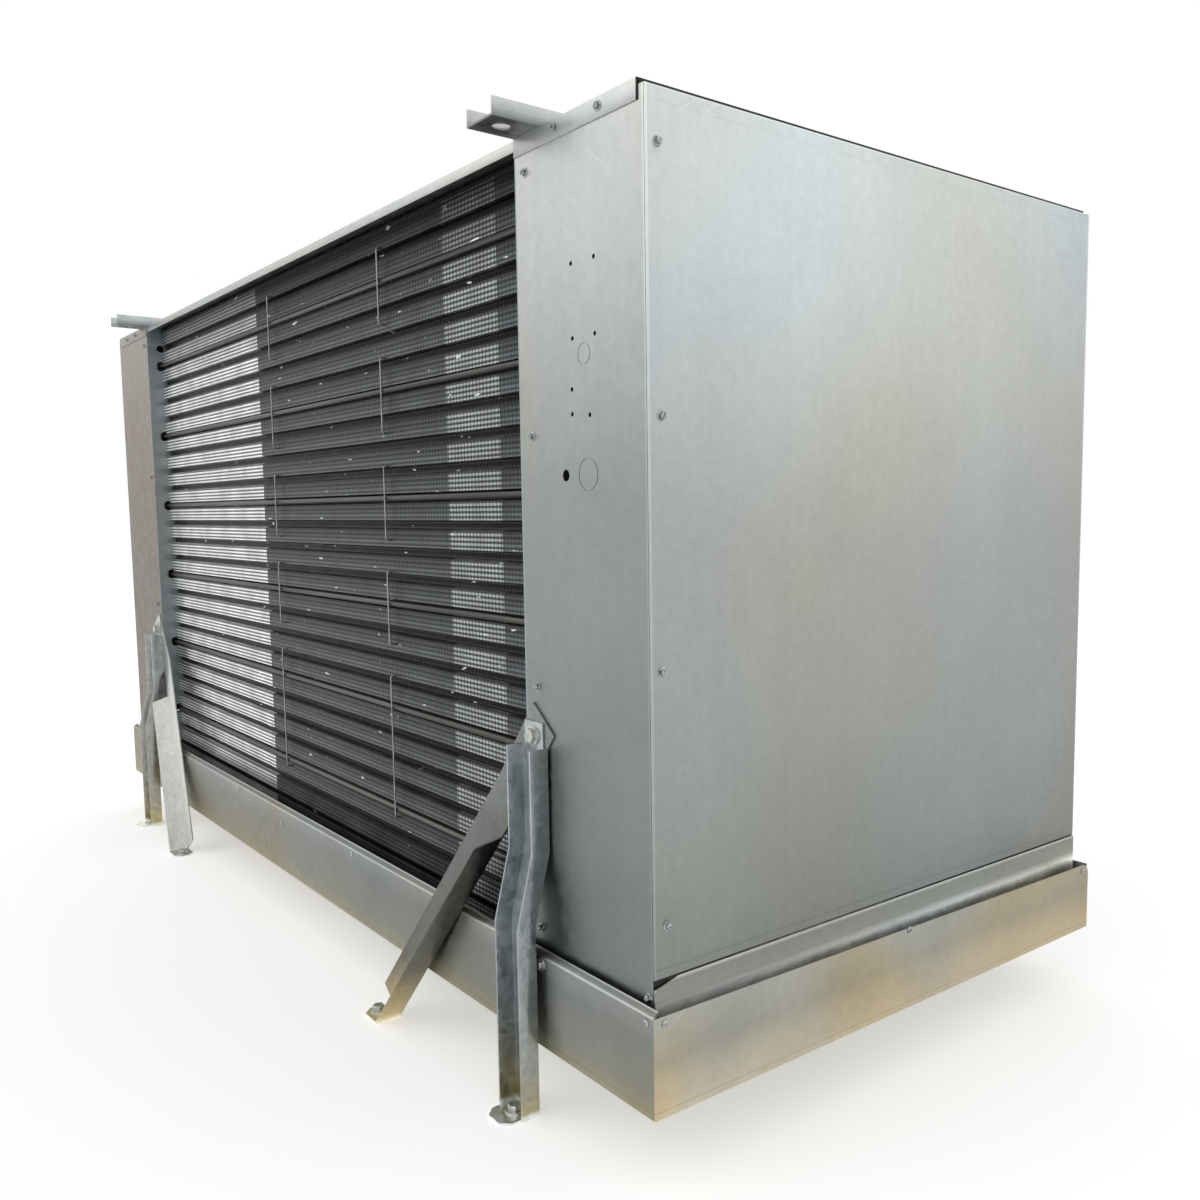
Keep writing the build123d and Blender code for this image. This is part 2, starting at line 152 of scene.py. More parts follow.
def new_shape(name: str, primitive: Callable[..., set[str]], **size: object) -> bpy.types.Object:
    """Add a primitive at its size and place, with its place in its mesh.

    Args:
        name: Name of the new object.
        primitive: Blender's operator that adds it.
        **size: Arguments of the operator.

    Returns:
        The new object, selected and active.
    """
    bpy.ops.object.select_all(action="DESELECT")
    primitive(**size)
    obj = bpy.context.object
    obj.name = name
    bpy.ops.object.transform_apply(location=True, rotation=True, scale=True)
    return obj


def pick(obj: bpy.types.Object, faces: Callable[[Vector, Vector], bool] | None = None,
         points: Callable[[Vector], bool] | None = None,
         edges: Callable[[Vector, Vector], bool] | None = None) -> None:
    """Enter edit mode with only the faces, edges or vertices selected that pass a test.

    Args:
        obj: Object to edit.
        faces: Test of a face's middle and normal.
        points: Test of a vertex's place.
        edges: Test of an edge's two ends.
    """
    select_only(obj)
    mesh = obj.data
    bpy.ops.object.mode_set(mode="EDIT")
    bpy.ops.mesh.select_mode(type="FACE" if faces else "VERT" if points else "EDGE")
    bpy.ops.mesh.select_all(action="DESELECT")
    bpy.ops.object.mode_set(mode="OBJECT")
    if faces:
        for face in mesh.polygons:
            face.select = faces(face.center, face.normal)
    elif points:
        for point in mesh.vertices:
            point.select = points(point.co)
    else:
        for edge in mesh.edges:
            first, second = (mesh.vertices[n].co for n in edge.vertices)
            edge.select = edges(first, second)
    bpy.ops.object.mode_set(mode="EDIT")


def leave_edit() -> None:
    """Go back to object mode."""
    bpy.ops.object.mode_set(mode="OBJECT")


def apply_modifier(obj: bpy.types.Object, kind: str, **settings: object) -> None:
    """Add a modifier with its settings and apply it.

    Args:
        obj: Object that is modified.
        kind: Blender's type of the modifier.
        **settings: Properties of the modifier.
    """
    select_only(obj)
    modifier = obj.modifiers.new(kind.title(), kind)
    for name, value in settings.items():
        setattr(modifier, name, value)
    bpy.ops.object.modifier_apply(modifier=modifier.name)


def join(name: str, objects: list[bpy.types.Object]) -> bpy.types.Object:
    """Join objects into one.

    Args:
        name: Name of the joined object.
        objects: Objects to join.

    Returns:
        The joined object.
    """
    select_only(*objects)
    if len(objects) > 1:
        bpy.ops.object.join()
    objects[0].name = name
    return objects[0]


def soften(obj: bpy.types.Object, degrees: float = 35.0) -> None:
    """Shade an object smooth, apart from edges sharper than an angle."""
    select_only(obj)
    bpy.ops.object.shade_smooth_by_angle(angle=math.radians(degrees))


def facing(place: Iterable[float], normal: Iterable[float], spin: float = 0.0) -> Matrix:
    """Placement of a fastener modelled on the floor, head up.

    Args:
        place: Point that its seat goes to, in millimetres.
        normal: Direction that its head goes to.
        spin: Turn about its own axis, in degrees.

    Returns:
        The matrix that puts it there.
    """
    turn = Vector(normal).to_track_quat("Z", "Y").to_matrix().to_4x4()
    return Matrix.Translation(Vector(place) * MM) @ turn @ Matrix.Rotation(math.radians(spin), 4, "Z")


def scatter(name: str, template: bpy.types.Object, places: list[Matrix]) -> bpy.types.Object:
    """Copy a small part to many places, each copy with its own mesh, and join the copies.

    Args:
        name: Name of the joined piece.
        template: The part as modelled, head up at the origin.
        places: One matrix for each copy.

    Returns:
        The joined piece.
    """
    copies = []
    for place in places:
        copy = template.copy()
        copy.data = template.data.copy()
        copy.data.transform(place)
        bpy.context.scene.collection.objects.link(copy)
        copies.append(copy)
    return join(name, copies)


def bent_wire(name: str, path: list[tuple[float, float, float]], radius: float, bend: float,
              sides: int = 8, bend_steps: int = 4) -> bpy.types.Object:
    """Draw a round wire along a path whose corners are square, and round each corner.

    Args:
        name: Name of the wire.
        path: Its ends and corners in millimetres.
        radius: Radius of the wire.
        bend: Radius of its middle line at a corner.
        sides: Number of flats round the wire.
        bend_steps: Number of flats along a corner.

    Returns:
        The closed wire.
    """
    corners = [Vector(point) * MM for point in path]
    tip = corners[0]
    wire = new_shape(name, bpy.ops.mesh.primitive_circle_add, vertices=sides, radius=radius * MM, fill_type="NGON",
                     location=tip, rotation=(corners[1] - tip).to_track_quat("Z", "Y").to_euler())
    for n, corner in enumerate(corners[1:], 1):
        last = n == len(corners) - 1
        ahead = (corner - corners[n - 1]).normalized()
        stop = corner if last else corner - ahead * bend * MM
        pick(wire, faces=lambda middle, normal: (middle - tip).length < TOUCH)
        bpy.ops.mesh.extrude_region_move(TRANSFORM_OT_translate={"value": stop - tip})
        leave_edit()
        tip = stop
        if not last:
            turn = (corners[n + 1] - corner).normalized()
            pick(wire, faces=lambda middle, normal: (middle - tip).length < TOUCH)
            # spin turns the other way about its axis than a right-handed screw
            bpy.ops.mesh.spin(steps=bend_steps, angle=-math.pi / 2, axis=ahead.cross(turn),
                              center=tip + turn * bend * MM, dupli=False)
            leave_edit()
            tip = corner + turn * bend * MM
    pick(wire, faces=lambda middle, normal: True)
    bpy.ops.mesh.remove_doubles(threshold=TOUCH)
    bpy.ops.mesh.normals_make_consistent(inside=False)
    leave_edit()
    soften(wire, ROUND)
    return wire


def settle(obj: bpy.types.Object, finish: bpy.types.Material, slot: str, *stands_for: str) -> None:
    """Dress a finished piece and make it ride on the frame.

    Args:
        obj: The piece.
        finish: Its material.
        slot: Name of a material slot; not used.
        *stands_for: CAD nodes that it replaces.
    """
    obj.data.materials.clear()
    obj.data.materials.append(finish)
    if stands_for:
        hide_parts(*stands_for)
    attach(obj, BODY)
    LOG.info("%s: %d faces", obj.name, len(obj.data.polygons))


def dress(node: str, finish: bpy.types.Material) -> None:
    """Give a CAD node a material in place of its plain one.

    Args:
        node: Name of the CAD node.
        finish: Its material.
    """
    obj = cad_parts[node]
    if not obj.material_slots:
        obj.data.materials.append(finish)
    for held in obj.material_slots:
        held.material = finish
    LOG.info("%s keeps its solid", node)


def merged_copy(node: str, name: str) -> bpy.types.Object:
    """Copy a CAD node's mesh as a piece of its own, with its triangles merged into plain faces.

    Args:
        node: Name of the CAD node.
        name: Name of the copy.

    Returns:
        The copy.
    """
    select_only(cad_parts[node])
    bpy.ops.object.duplicate(linked=False)
    copy = bpy.context.object
    copy.name = name
    for key in [k for k in copy.keys() if k.startswith("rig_")]:
        del copy[key]
    copy.parent = None
    pick(copy, faces=lambda middle, normal: True)
    bpy.ops.mesh.remove_doubles(threshold=MERGE)
    bpy.ops.mesh.dissolve_limited(angle_limit=math.radians(FLAT))
    leave_edit()
    return copy


def rolled_copy(node: str, width: float, finish: bpy.types.Material, slot: str) -> None:
    """Stand a copy of a folded sheet in for its node, with its folds and cut edges rounded.

    Args:
        node: Name of the CAD node.
        width: Width of the rounding in millimetres.
        finish: Its material.
        slot: Name of its material slot, passed on to settle.
    """
    copy = merged_copy(node, f"{node}_sheet")
    apply_modifier(copy, "BEVEL", width=width * MM, segments=2, limit_method="ANGLE",
                   angle_limit=math.radians(FOLD), use_clamp_overlap=True)
    soften(copy, FOLD)
    settle(copy, finish, slot, node)


# ---------------------------------------------------------------- finishes


@dataclass(frozen=True)
class ZincSheet:
    """Hot-dip galvanised steel sheet: a dull grey metal with cloudy spangle and handling scratches.

    The eye gets a painted reflection that drifts in tone over the height of a sheet, painted shade and highlights
    along seams and folds, faint upright streaks from the rolling mill, and a few bright hairline scratches.
    """

    name: str
    tones: Stops
    low: float
    high: float
    cloud: float = 0.06
    cloud_mm: float = 260.0
    streak: float = 0.014
    streak_mm: tuple[float, float, float] = (12.0, 12.0, 900.0)
    spangle: float = 0.03
    spangle_mm: float = 14.0
    mottle: float = 0.045
    mottle_mm: float = 11.0
    scratch: float = 0.3
    scratch_mm: tuple[float, float, float] = (3.5, 3.5, 140.0)
    scratch_turn: tuple[float, float, float] = (0.95, 0.0, 0.0)
    patch_mm: float = 320.0
    roughness: float = 0.42
    warm: str = "fffdf2"
    neutral: str = "fcfcfa"
    cool: str = "f6fbff"
    drift_mm: float = 520.0
    grain_mm: float = 1.6
    grain_depth: float = 0.3
    wave_depth: float = 6.0
    # painted shade or highlight along a seam or fold: axis, distance from the middle, half width and gain of each line
    lines: tuple[tuple[str, float, float, float], ...] = ()

    def body(self, tree: bpy.types.NodeTree, where: bpy.types.NodeSocket,
             height: bpy.types.NodeSocket) -> bpy.types.NodeSocket:
        """Make the grey, with a painted reflection that changes up the sheet, drifting from warm to cool across it.

        Args:
            tree: The material's node tree.
            where: Place on the object.
            height: Z of that place.

        Returns:
            The colour.
        """
        share = add_node(tree, "ShaderNodeMapRange", {"Value": height, "From Min": self.low * MM,
                                                      "From Max": self.high * MM})
        tone = add_node(tree, "ShaderNodeValToRGB", {"Fac": share.outputs[0]}, self.tones)
        drift = add_node(tree, "ShaderNodeTexNoise", {"Vector": where, "Scale": per_mm(self.drift_mm), "Detail": 1.0})
        tint = add_node(tree, "ShaderNodeValToRGB", {"Fac": drift.outputs[0]}, (
            (0.35, self.warm), (0.5, self.neutral), (0.65, self.cool)))
        return add_node(tree, "ShaderNodeMix", {0: 1.0, 6: tone.outputs[0], 7: tint.outputs[0]},
                        data_type="RGBA", blend_type="MULTIPLY").outputs[2]

    def wear(self, tree: bpy.types.NodeTree, where: bpy.types.NodeSocket) -> list[bpy.types.Node]:
        """Make the mill streaks, the uneven zinc and the scratches.

        Args:
            tree: The material's node tree.
            where: Place on the object.

        Returns:
            Nodes that each give a gain of about 1.
        """
        drawn = add_node(tree, "ShaderNodeMapping", {"Vector": where, "Scale": tuple(map(per_mm, self.streak_mm))})
        streaks = add_node(tree, "ShaderNodeTexNoise", {"Vector": drawn.outputs[0], "Scale": 1.0, "Detail": 3.0})
        streak = add_node(tree, "ShaderNodeMapRange", {
            "Value": streaks.outputs[0], "From Min": NOISE_LOW, "From Max": NOISE_HIGH,
            "To Min": 1 - self.streak, "To Max": 1 + self.streak})
        blots = add_node(tree, "ShaderNodeTexNoise", {"Vector": where, "Scale": per_mm(self.mottle_mm),
                                                      "Detail": 6.0, "Roughness": 0.65})
        mottle = add_node(tree, "ShaderNodeMapRange", {
            "Value": blots.outputs[0], "From Min": NOISE_LOW, "From Max": NOISE_HIGH,
            "To Min": 1 - self.mottle, "To Max": 1 + self.mottle})
        # hairline scratches in the plane of the sheet, drawn a millimetre wide so that they show, in patches
        turned = add_node(tree, "ShaderNodeMapping", {"Vector": where, "Rotation": self.scratch_turn})
        slanted = add_node(tree, "ShaderNodeMapping", {"Vector": turned.outputs[0],
                                                       "Scale": tuple(map(per_mm, self.scratch_mm))})
        hairs = add_node(tree, "ShaderNodeTexNoise", {"Vector": slanted.outputs[0], "Scale": 1.0, "Detail": 0.0})
        hair = add_node(tree, "ShaderNodeMapRange", {"Value": hairs.outputs[0], "From Min": 0.8, "From Max": 0.84})
        handled = add_node(tree, "ShaderNodeTexNoise", {"Vector": where, "Scale": per_mm(self.patch_mm), "Detail": 1.0})
        patch = add_node(tree, "ShaderNodeMapRange", {"Value": handled.outputs[0], "From Min": 0.5, "From Max": 0.62})
        share = add_node(tree, "ShaderNodeMath", {0: hair.outputs[0], 1: patch.outputs[0]}, operation="MULTIPLY")
        scratch = add_node(tree, "ShaderNodeMapRange", {"Value": share.outputs[0], "To Min": 1.0,
                                                        "To Max": 1 + self.scratch})
        return [streak, mottle, scratch]

    def painted_seam_lines(self, tree: bpy.types.NodeTree, axes: bpy.types.NodeOutputs) -> list[bpy.types.Node]:
        """Draw thin lines of painted shade and highlight along seams and folds, the same at both ends and sides of the
        object.

        Args:
            tree: The material's node tree.
            axes: X, Y and Z of the place on the object.

        Returns:
            Nodes that each give the gain of one line, and 1 beside it.
        """
        drawn = []
        for axis, place, half_width, gain in self.lines:
            side = add_node(tree, "ShaderNodeMath", {0: axes[axis]}, operation="ABSOLUTE")
            near = add_node(tree, "ShaderNodeMath", {0: side.outputs[0], 1: place * MM, 2: half_width * MM},
                            operation="COMPARE")
            drawn.append(add_node(tree, "ShaderNodeMapRange", {"Value": near.outputs[0], "To Min": 1.0,
                                                               "To Max": gain}))
        return drawn

    def material(self) -> bpy.types.Material:
        """Build the material.

        Returns:
            The finished material.
        """
        made = bpy.data.materials.new(self.name)
        made.use_nodes = True
        tree = made.node_tree
        shader = tree.nodes["Principled BSDF"]
        where = add_node(tree, "ShaderNodeTexCoord").outputs["Object"]
        axes = add_node(tree, "ShaderNodeSeparateXYZ", {0: where}).outputs
        body = self.body(tree, where, axes["Z"])
        cloud = add_node(tree, "ShaderNodeTexNoise", {"Vector": where, "Scale": per_mm(self.cloud_mm),
                                                      "Detail": 4.0, "Roughness": 0.55})
        gain = add_node(tree, "ShaderNodeMapRange", {
            "Value": cloud.outputs[0], "From Min": NOISE_LOW, "From Max": NOISE_HIGH,
            "To Min": 1 - self.cloud, "To Max": 1 + self.cloud})
        crystal = add_node(tree, "ShaderNodeTexVoronoi", {"Vector": where, "Scale": per_mm(self.spangle_mm)})
        flake = add_node(tree, "ShaderNodeSeparateColor", {0: crystal.outputs["Color"]}).outputs[0]
        spangle = add_node(tree, "ShaderNodeMapRange", {"Value": flake, "To Min": 1 - self.spangle,
                                                        "To Max": 1 + self.spangle})
        for part in (spangle, *self.wear(tree, where), *self.painted_seam_lines(tree, axes)):
            gain = add_node(tree, "ShaderNodeMath", {0: gain.outputs[0], 1: part.outputs[0]}, operation="MULTIPLY")
        colour = add_node(tree, "ShaderNodeMix", {0: 1.0, 6: body, 7: gain.outputs[0]}, data_type="RGBA",
                          blend_type="MULTIPLY")
        # each crystal of the spangle has a sheen of its own
        rough = add_node(tree, "ShaderNodeMapRange", {"Value": flake, "To Min": self.roughness - 0.05,
                                                      "To Max": self.roughness + 0.06})
        # zinc grain, over slow waves in the flat sheet
        grain = add_node(tree, "ShaderNodeTexNoise", {"Vector": where, "Scale": per_mm(self.grain_mm), "Detail": 2.0})
        bump = add_node(tree, "ShaderNodeBump", {"Height": grain.outputs[0], "Strength": 0.12,
                                                 "Distance": self.grain_depth * MM})
        wave = add_node(tree, "ShaderNodeBump", {"Height": cloud.outputs[0], "Strength": 0.35,
                                                 "Distance": self.wave_depth * MM, "Normal": bump.outputs[0]})
        shader.inputs["Metallic"].default_value = 1.0
        tree.links.new(colour.outputs[2], shader.inputs["Base Color"])
        tree.links.new(rough.outputs[0], shader.inputs["Roughness"])
        tree.links.new(wave.outputs[0], shader.inputs["Normal"])
        return made


@dataclass(frozen=True)
class FinStock:
    """Rippled aluminium fin stock: thin bare fins with painted shade between them, so a grey that is mostly dark.

    The eye gets four level ripples in each tube row as painted highlights and shade, painted black under the edge
    of each row, two stretches of fins with a painted reflection, and white nicks where fins were knocked.
    """

    name: str
    # tone of the fins in painted shade, over one row
    dull: Stops = ((0.0, "4d5052"), (0.14, "5f6264"), (0.42, "5d6062"), (0.56, "494c4e"), (0.76, "45484a"),
                   (0.83, "5f6264"), (1.0, "494c4e"))
    # colours of the fins under the bright and the middling painted reflection, and of knocked fins
    bright_reflection: str = "e2e4e3"
    middling: str = "a3a6a7"
    knocked: str = "dfe1e0"
    # painted light and shade over one row: black in the groove, a painted glint on both edges, and grey towards the
    # groove above
    shade: Stops = ((0.0, "222222"), (0.05, "161616"), (0.09, "6e6e6e"), (0.125, "ffffff"), (0.2, "f4f4f4"),
                    (0.8, "f0f0f0"), (0.84, "ffffff"), (0.89, "c0c0c0"), (0.95, "626262"), (1.0, "282828"))
    bottom: float = 184.9
    pitch: float = 38.1
    band_at: float = 0.485
    band_half: float = 0.38
    # X up to which the bright painted reflection falls, and the stretch of the middling one
    bright_reflection_to: float = -160.0
    middling_from: float = 537.0
    middling_to: float = 672.0
    # ripples as painted highlights on the crests and painted shade in the troughs
    ripple_mm: float = 6.35
    ripple_from: float = 0.535
    crest_mm: tuple[float, float] = (0.9, 2.2)
    crest: float = 1.35
    trough: float = 0.5
    bright_trough: float = 0.24
    # painted shade between fins
    gap_mm: float = 8.6
    gap_edge_mm: tuple[float, float] = (0.6, 1.6)
    gap: float = 0.94
    middling_gap: float = 0.35
    stray_mm: float = 30.0
    stray_by: float = 4.0
    soot: float = 0.2
    soot_mm: float = 60.0
    nick_mm: tuple[float, float, float] = (40.0, 60.0, 9.0)
    lip: tuple[float, float] = (170.0, 215.0)
    lip_gain: float = 4.0
    eaves: tuple[float, float] = (980.0, 1070.0)
    eaves_gain: float = 0.32

    def stretches(self, tree: bpy.types.NodeTree, across: bpy.types.NodeSocket,
                  band: bpy.types.Node) -> tuple[bpy.types.Node, bpy.types.Node]:
        """Mark the two stretches of fins with a painted reflection.

        Args:
            tree: The material's node tree.
            across: X of the place on the object.
            band: Node that is 1 on the front edges of the fins and 0 in the grooves.

        Returns:
            Nodes that are 1 under the bright painted reflection and under the middling one.
        """
        bright_reflection = add_node(tree, "ShaderNodeMath", {0: across, 1: self.bright_reflection_to * MM}, operation="LESS_THAN")
        bright_reflection = add_node(tree, "ShaderNodeMath", {0: bright_reflection.outputs[0], 1: band.outputs[0]}, operation="MULTIPLY")
        centre = (self.middling_from + self.middling_to) / 2 * MM
        half = (self.middling_to - self.middling_from) / 2 * MM
        middling = add_node(tree, "ShaderNodeMath", {0: across, 1: centre, 2: half}, operation="COMPARE")
        middling = add_node(tree, "ShaderNodeMath", {0: middling.outputs[0], 1: band.outputs[0]},
                            operation="MULTIPLY")
        return bright_reflection, middling

    def ripples(self, tree: bpy.types.NodeTree, above: bpy.types.Node, band: bpy.types.Node,
                bright: bpy.types.Node) -> bpy.types.Node:
        """Make the painted highlights on the crests and painted shade in the troughs of the fins, which show best where
        the reflection is painted.

        Args:
            tree: The material's node tree.
            above: Height above the foot of the lowest row.
            band: Node that is 1 on the front edges of the fins and 0 in the grooves.
            bright: Node that is 1 on the fins with a painted reflection.

        Returns:
            The gain of the ripples.
        """
        middle = add_node(tree, "ShaderNodeMath", {0: above.outputs[0], 1: self.ripple_from * self.pitch * MM},
                          operation="SUBTRACT")
        ripple = add_node(tree, "ShaderNodeMath", {0: middle.outputs[0], 1: self.ripple_mm / 2 * MM},
                          operation="PINGPONG")
        trough = add_node(tree, "ShaderNodeMapRange", {"Value": bright.outputs[0], "To Min": self.trough,
                                                       "To Max": self.bright_trough})
        top, foot = self.crest_mm
        crest = add_node(tree, "ShaderNodeMapRange", {"Value": ripple.outputs[0], "From Min": top * MM,
                                                      "From Max": foot * MM, "To Min": self.crest,
                                                      "To Max": trough.outputs[0]})
        return add_node(tree, "ShaderNodeMix", {0: band.outputs[0], 2: 1.0, 3: crest.outputs[0]})

    def gaps(self, tree: bpy.types.NodeTree, where: bpy.types.NodeSocket, across: bpy.types.NodeSocket,
             middling: bpy.types.Node) -> bpy.types.Node:
        """Make the painted shade between fins: one gap in two, as the real ones are too fine to show, and wandering a
        little.

        Args:
            tree: The material's node tree.
            where: Place on the object.
            across: X of that place.
            middling: Node that is 1 on the middling fins, where the gaps show best.

        Returns:
            The gain of the gaps.
        """
        stray = add_node(tree, "ShaderNodeTexNoise", {"Vector": where, "Scale": per_mm(self.stray_mm), "Detail": 2.0})
        placed = add_node(tree, "ShaderNodeMath", {0: stray.outputs[0], 1: self.stray_by * MM, 2: across},
                          operation="MULTIPLY_ADD")
        gaps = add_node(tree, "ShaderNodeMath", {0: placed.outputs[0], 1: self.gap_mm / 2 * MM}, operation="PINGPONG")
        least = add_node(tree, "ShaderNodeMapRange", {"Value": middling.outputs[0], "To Min": self.gap,
                                                      "To Max": self.middling_gap})
        inner, outer = self.gap_edge_mm
        return add_node(tree, "ShaderNodeMapRange", {"Value": gaps.outputs[0], "From Min": inner * MM,
                                                     "From Max": outer * MM, "To Min": least.outputs[0],
                                                     "To Max": 1.0})

    def shelter(self, tree: bpy.types.NodeTree, height: bpy.types.NodeSocket) -> list[bpy.types.Node]:
        """Make the light that the pan throws back below its lip, and the shade under the roof.

        Args:
            tree: The material's node tree.
            height: Z of the place on the object.

        Returns:
            The gain of each.
        """
        below, lip = self.lip
        low = add_node(tree, "ShaderNodeMapRange", {"Value": height, "From Min": below * MM, "From Max": lip * MM,
                                                    "To Min": self.lip_gain, "To Max": 1.0})
        under, roof = self.eaves
        eaves = add_node(tree, "ShaderNodeMapRange", {"Value": height, "From Min": under * MM, "From Max": roof * MM,
                                                      "To Min": 1.0, "To Max": self.eaves_gain})
        return [low, eaves]

    def material(self) -> bpy.types.Material:
        """Build the material.

        Returns:
            The finished material.
        """
        made = bpy.data.materials.new(self.name)
        made.use_nodes = True
        tree = made.node_tree
        shader = tree.nodes["Principled BSDF"]
        where = add_node(tree, "ShaderNodeTexCoord").outputs["Object"]
        axes = add_node(tree, "ShaderNodeSeparateXYZ", {0: where}).outputs
        above = add_node(tree, "ShaderNodeMath", {0: axes["Z"], 1: self.bottom * MM}, operation="SUBTRACT")
        rows = add_node(tree, "ShaderNodeMath", {0: above.outputs[0], 1: self.pitch * MM}, operation="DIVIDE")
        share = add_node(tree, "ShaderNodeMath", {0: rows.outputs[0]}, operation="FRACT").outputs[0]
        band = add_node(tree, "ShaderNodeMath", {0: share, 1: self.band_at, 2: self.band_half}, operation="COMPARE")
        bright_reflection, middling = self.stretches(tree, axes["X"], band)
        bright = add_node(tree, "ShaderNodeMath", {0: bright_reflection.outputs[0], 1: middling.outputs[0]}, operation="MAXIMUM")
        # painted shade of the dull fins over one row
        painted_shade = add_node(tree, "ShaderNodeValToRGB", {"Fac": share}, self.dull).outputs[0]
        # painted reflections on the two stretches of fins
        first = add_node(tree, "ShaderNodeMix", {0: bright_reflection.outputs[0], 6: painted_shade, 7: linear(self.bright_reflection)},
                         data_type="RGBA")
        tone = add_node(tree, "ShaderNodeMix", {0: middling.outputs[0], 6: first.outputs[2],
                                                7: linear(self.middling)}, data_type="RGBA")
        soot = add_node(tree, "ShaderNodeTexNoise", {"Vector": where, "Scale": per_mm(self.soot_mm), "Detail": 5.0})
        gain = add_node(tree, "ShaderNodeMapRange", {
            "Value": soot.outputs[0], "From Min": NOISE_LOW, "From Max": NOISE_HIGH,
            "To Min": 1 - self.soot, "To Max": 1 + self.soot})
        crest = self.ripples(tree, above, band, bright)
        gap = self.gaps(tree, where, axes["X"], middling)
        shade = add_node(tree, "ShaderNodeValToRGB", {"Fac": share}, self.shade)
        for part in (crest, gap, *self.shelter(tree, axes["Z"]), shade):
            gain = add_node(tree, "ShaderNodeMath", {0: gain.outputs[0], 1: part.outputs[0]}, operation="MULTIPLY")
        shaded = add_node(tree, "ShaderNodeMix", {0: 1.0, 6: tone.outputs[2], 7: gain.outputs[0]},
                          data_type="RGBA", blend_type="MULTIPLY")
        # knocked fins: pale nicks wider than high, far apart
        flat = add_node(tree, "ShaderNodeMapping", {"Vector": where, "Scale": tuple(map(per_mm, self.nick_mm))})
        knocks = add_node(tree, "ShaderNodeTexNoise", {"Vector": flat.outputs[0], "Scale": 1.0, "Detail": 2.0})
        nick = add_node(tree, "ShaderNodeMapRange", {"Value": knocks.outputs[0], "From Min": 0.7, "From Max": 0.75})
        colour = add_node(tree, "ShaderNodeMix", {0: nick.outputs[0], 6: shaded.outputs[2], 7: linear(self.knocked)},
                          data_type="RGBA")
        rough = add_node(tree, "ShaderNodeMapRange", {"Value": soot.outputs[0], "To Min": 0.36, "To Max": 0.55})
        shader.inputs["Metallic"].default_value = 1.0
        tree.links.new(colour.outputs[2], shader.inputs["Base Color"])
        tree.links.new(rough.outputs[0], shader.inputs["Roughness"])
        return made


@dataclass(frozen=True)
class DrawnMetal:
    """Drawn, cast or plated metal of one body colour: a smooth sheen broken by stains and fine grain."""

    name: str
    body: str
    stain: str
    roughness: float
    stain_mm: float = 40.0
    stretch: tuple[float, float, float] = (1.0, 1.0, 1.0)
    grain_mm: float = 0.8
    grain_depth: float = 0.2
    metallic: float = 1.0
    # gain of the painted shade on faces that look down
    under: float = 1.0

    def material(self) -> bpy.types.Material:
        """Build the material.

        Returns:
            The finished material.
        """
        made = bpy.data.materials.new(self.name)
        made.use_nodes = True
        tree = made.node_tree
        shader = tree.nodes["Principled BSDF"]
        where = add_node(tree, "ShaderNodeTexCoord").outputs["Object"]
        drawn = add_node(tree, "ShaderNodeMapping", {"Vector": where, "Scale": self.stretch})
        stains = add_node(tree, "ShaderNodeTexNoise", {"Vector": drawn.outputs[0], "Scale": per_mm(self.stain_mm),
                                                       "Detail": 5.0})
        share = add_node(tree, "ShaderNodeMapRange", {"Value": stains.outputs[0], "From Min": 0.38,
                                                      "From Max": 0.66})
        colour = add_node(tree, "ShaderNodeMix", {0: share.outputs[0], 6: linear(self.body), 7: linear(self.stain)},
                          data_type="RGBA")
        # painted shade on what looks down
        normal = add_node(tree, "ShaderNodeSeparateXYZ", {0: add_node(tree, "ShaderNodeNewGeometry").outputs["Normal"]})
        painted_shade = add_node(tree, "ShaderNodeMapRange", {"Value": normal.outputs["Z"], "From Min": -0.7, "From Max": 0.7,
                                                      "To Min": self.under, "To Max": 1.0})
        colour = add_node(tree, "ShaderNodeMix", {0: 1.0, 6: colour.outputs[2], 7: painted_shade.outputs[0]},
                          data_type="RGBA", blend_type="MULTIPLY")
        rough = add_node(tree, "ShaderNodeMapRange", {"Value": stains.outputs[0], "To Min": self.roughness - 0.08,
                                                      "To Max": self.roughness + 0.1})
        grain = add_node(tree, "ShaderNodeTexNoise", {"Vector": where, "Scale": per_mm(self.grain_mm), "Detail": 2.0})
        bump = add_node(tree, "ShaderNodeBump", {"Height": grain.outputs[0], "Strength": 0.15,
                                                 "Distance": self.grain_depth * MM})
        shader.inputs["Metallic"].default_value = self.metallic
        tree.links.new(colour.outputs[2], shader.inputs["Base Color"])
        tree.links.new(rough.outputs[0], shader.inputs["Roughness"])
        tree.links.new(bump.outputs[0], shader.inputs["Normal"])
        return made


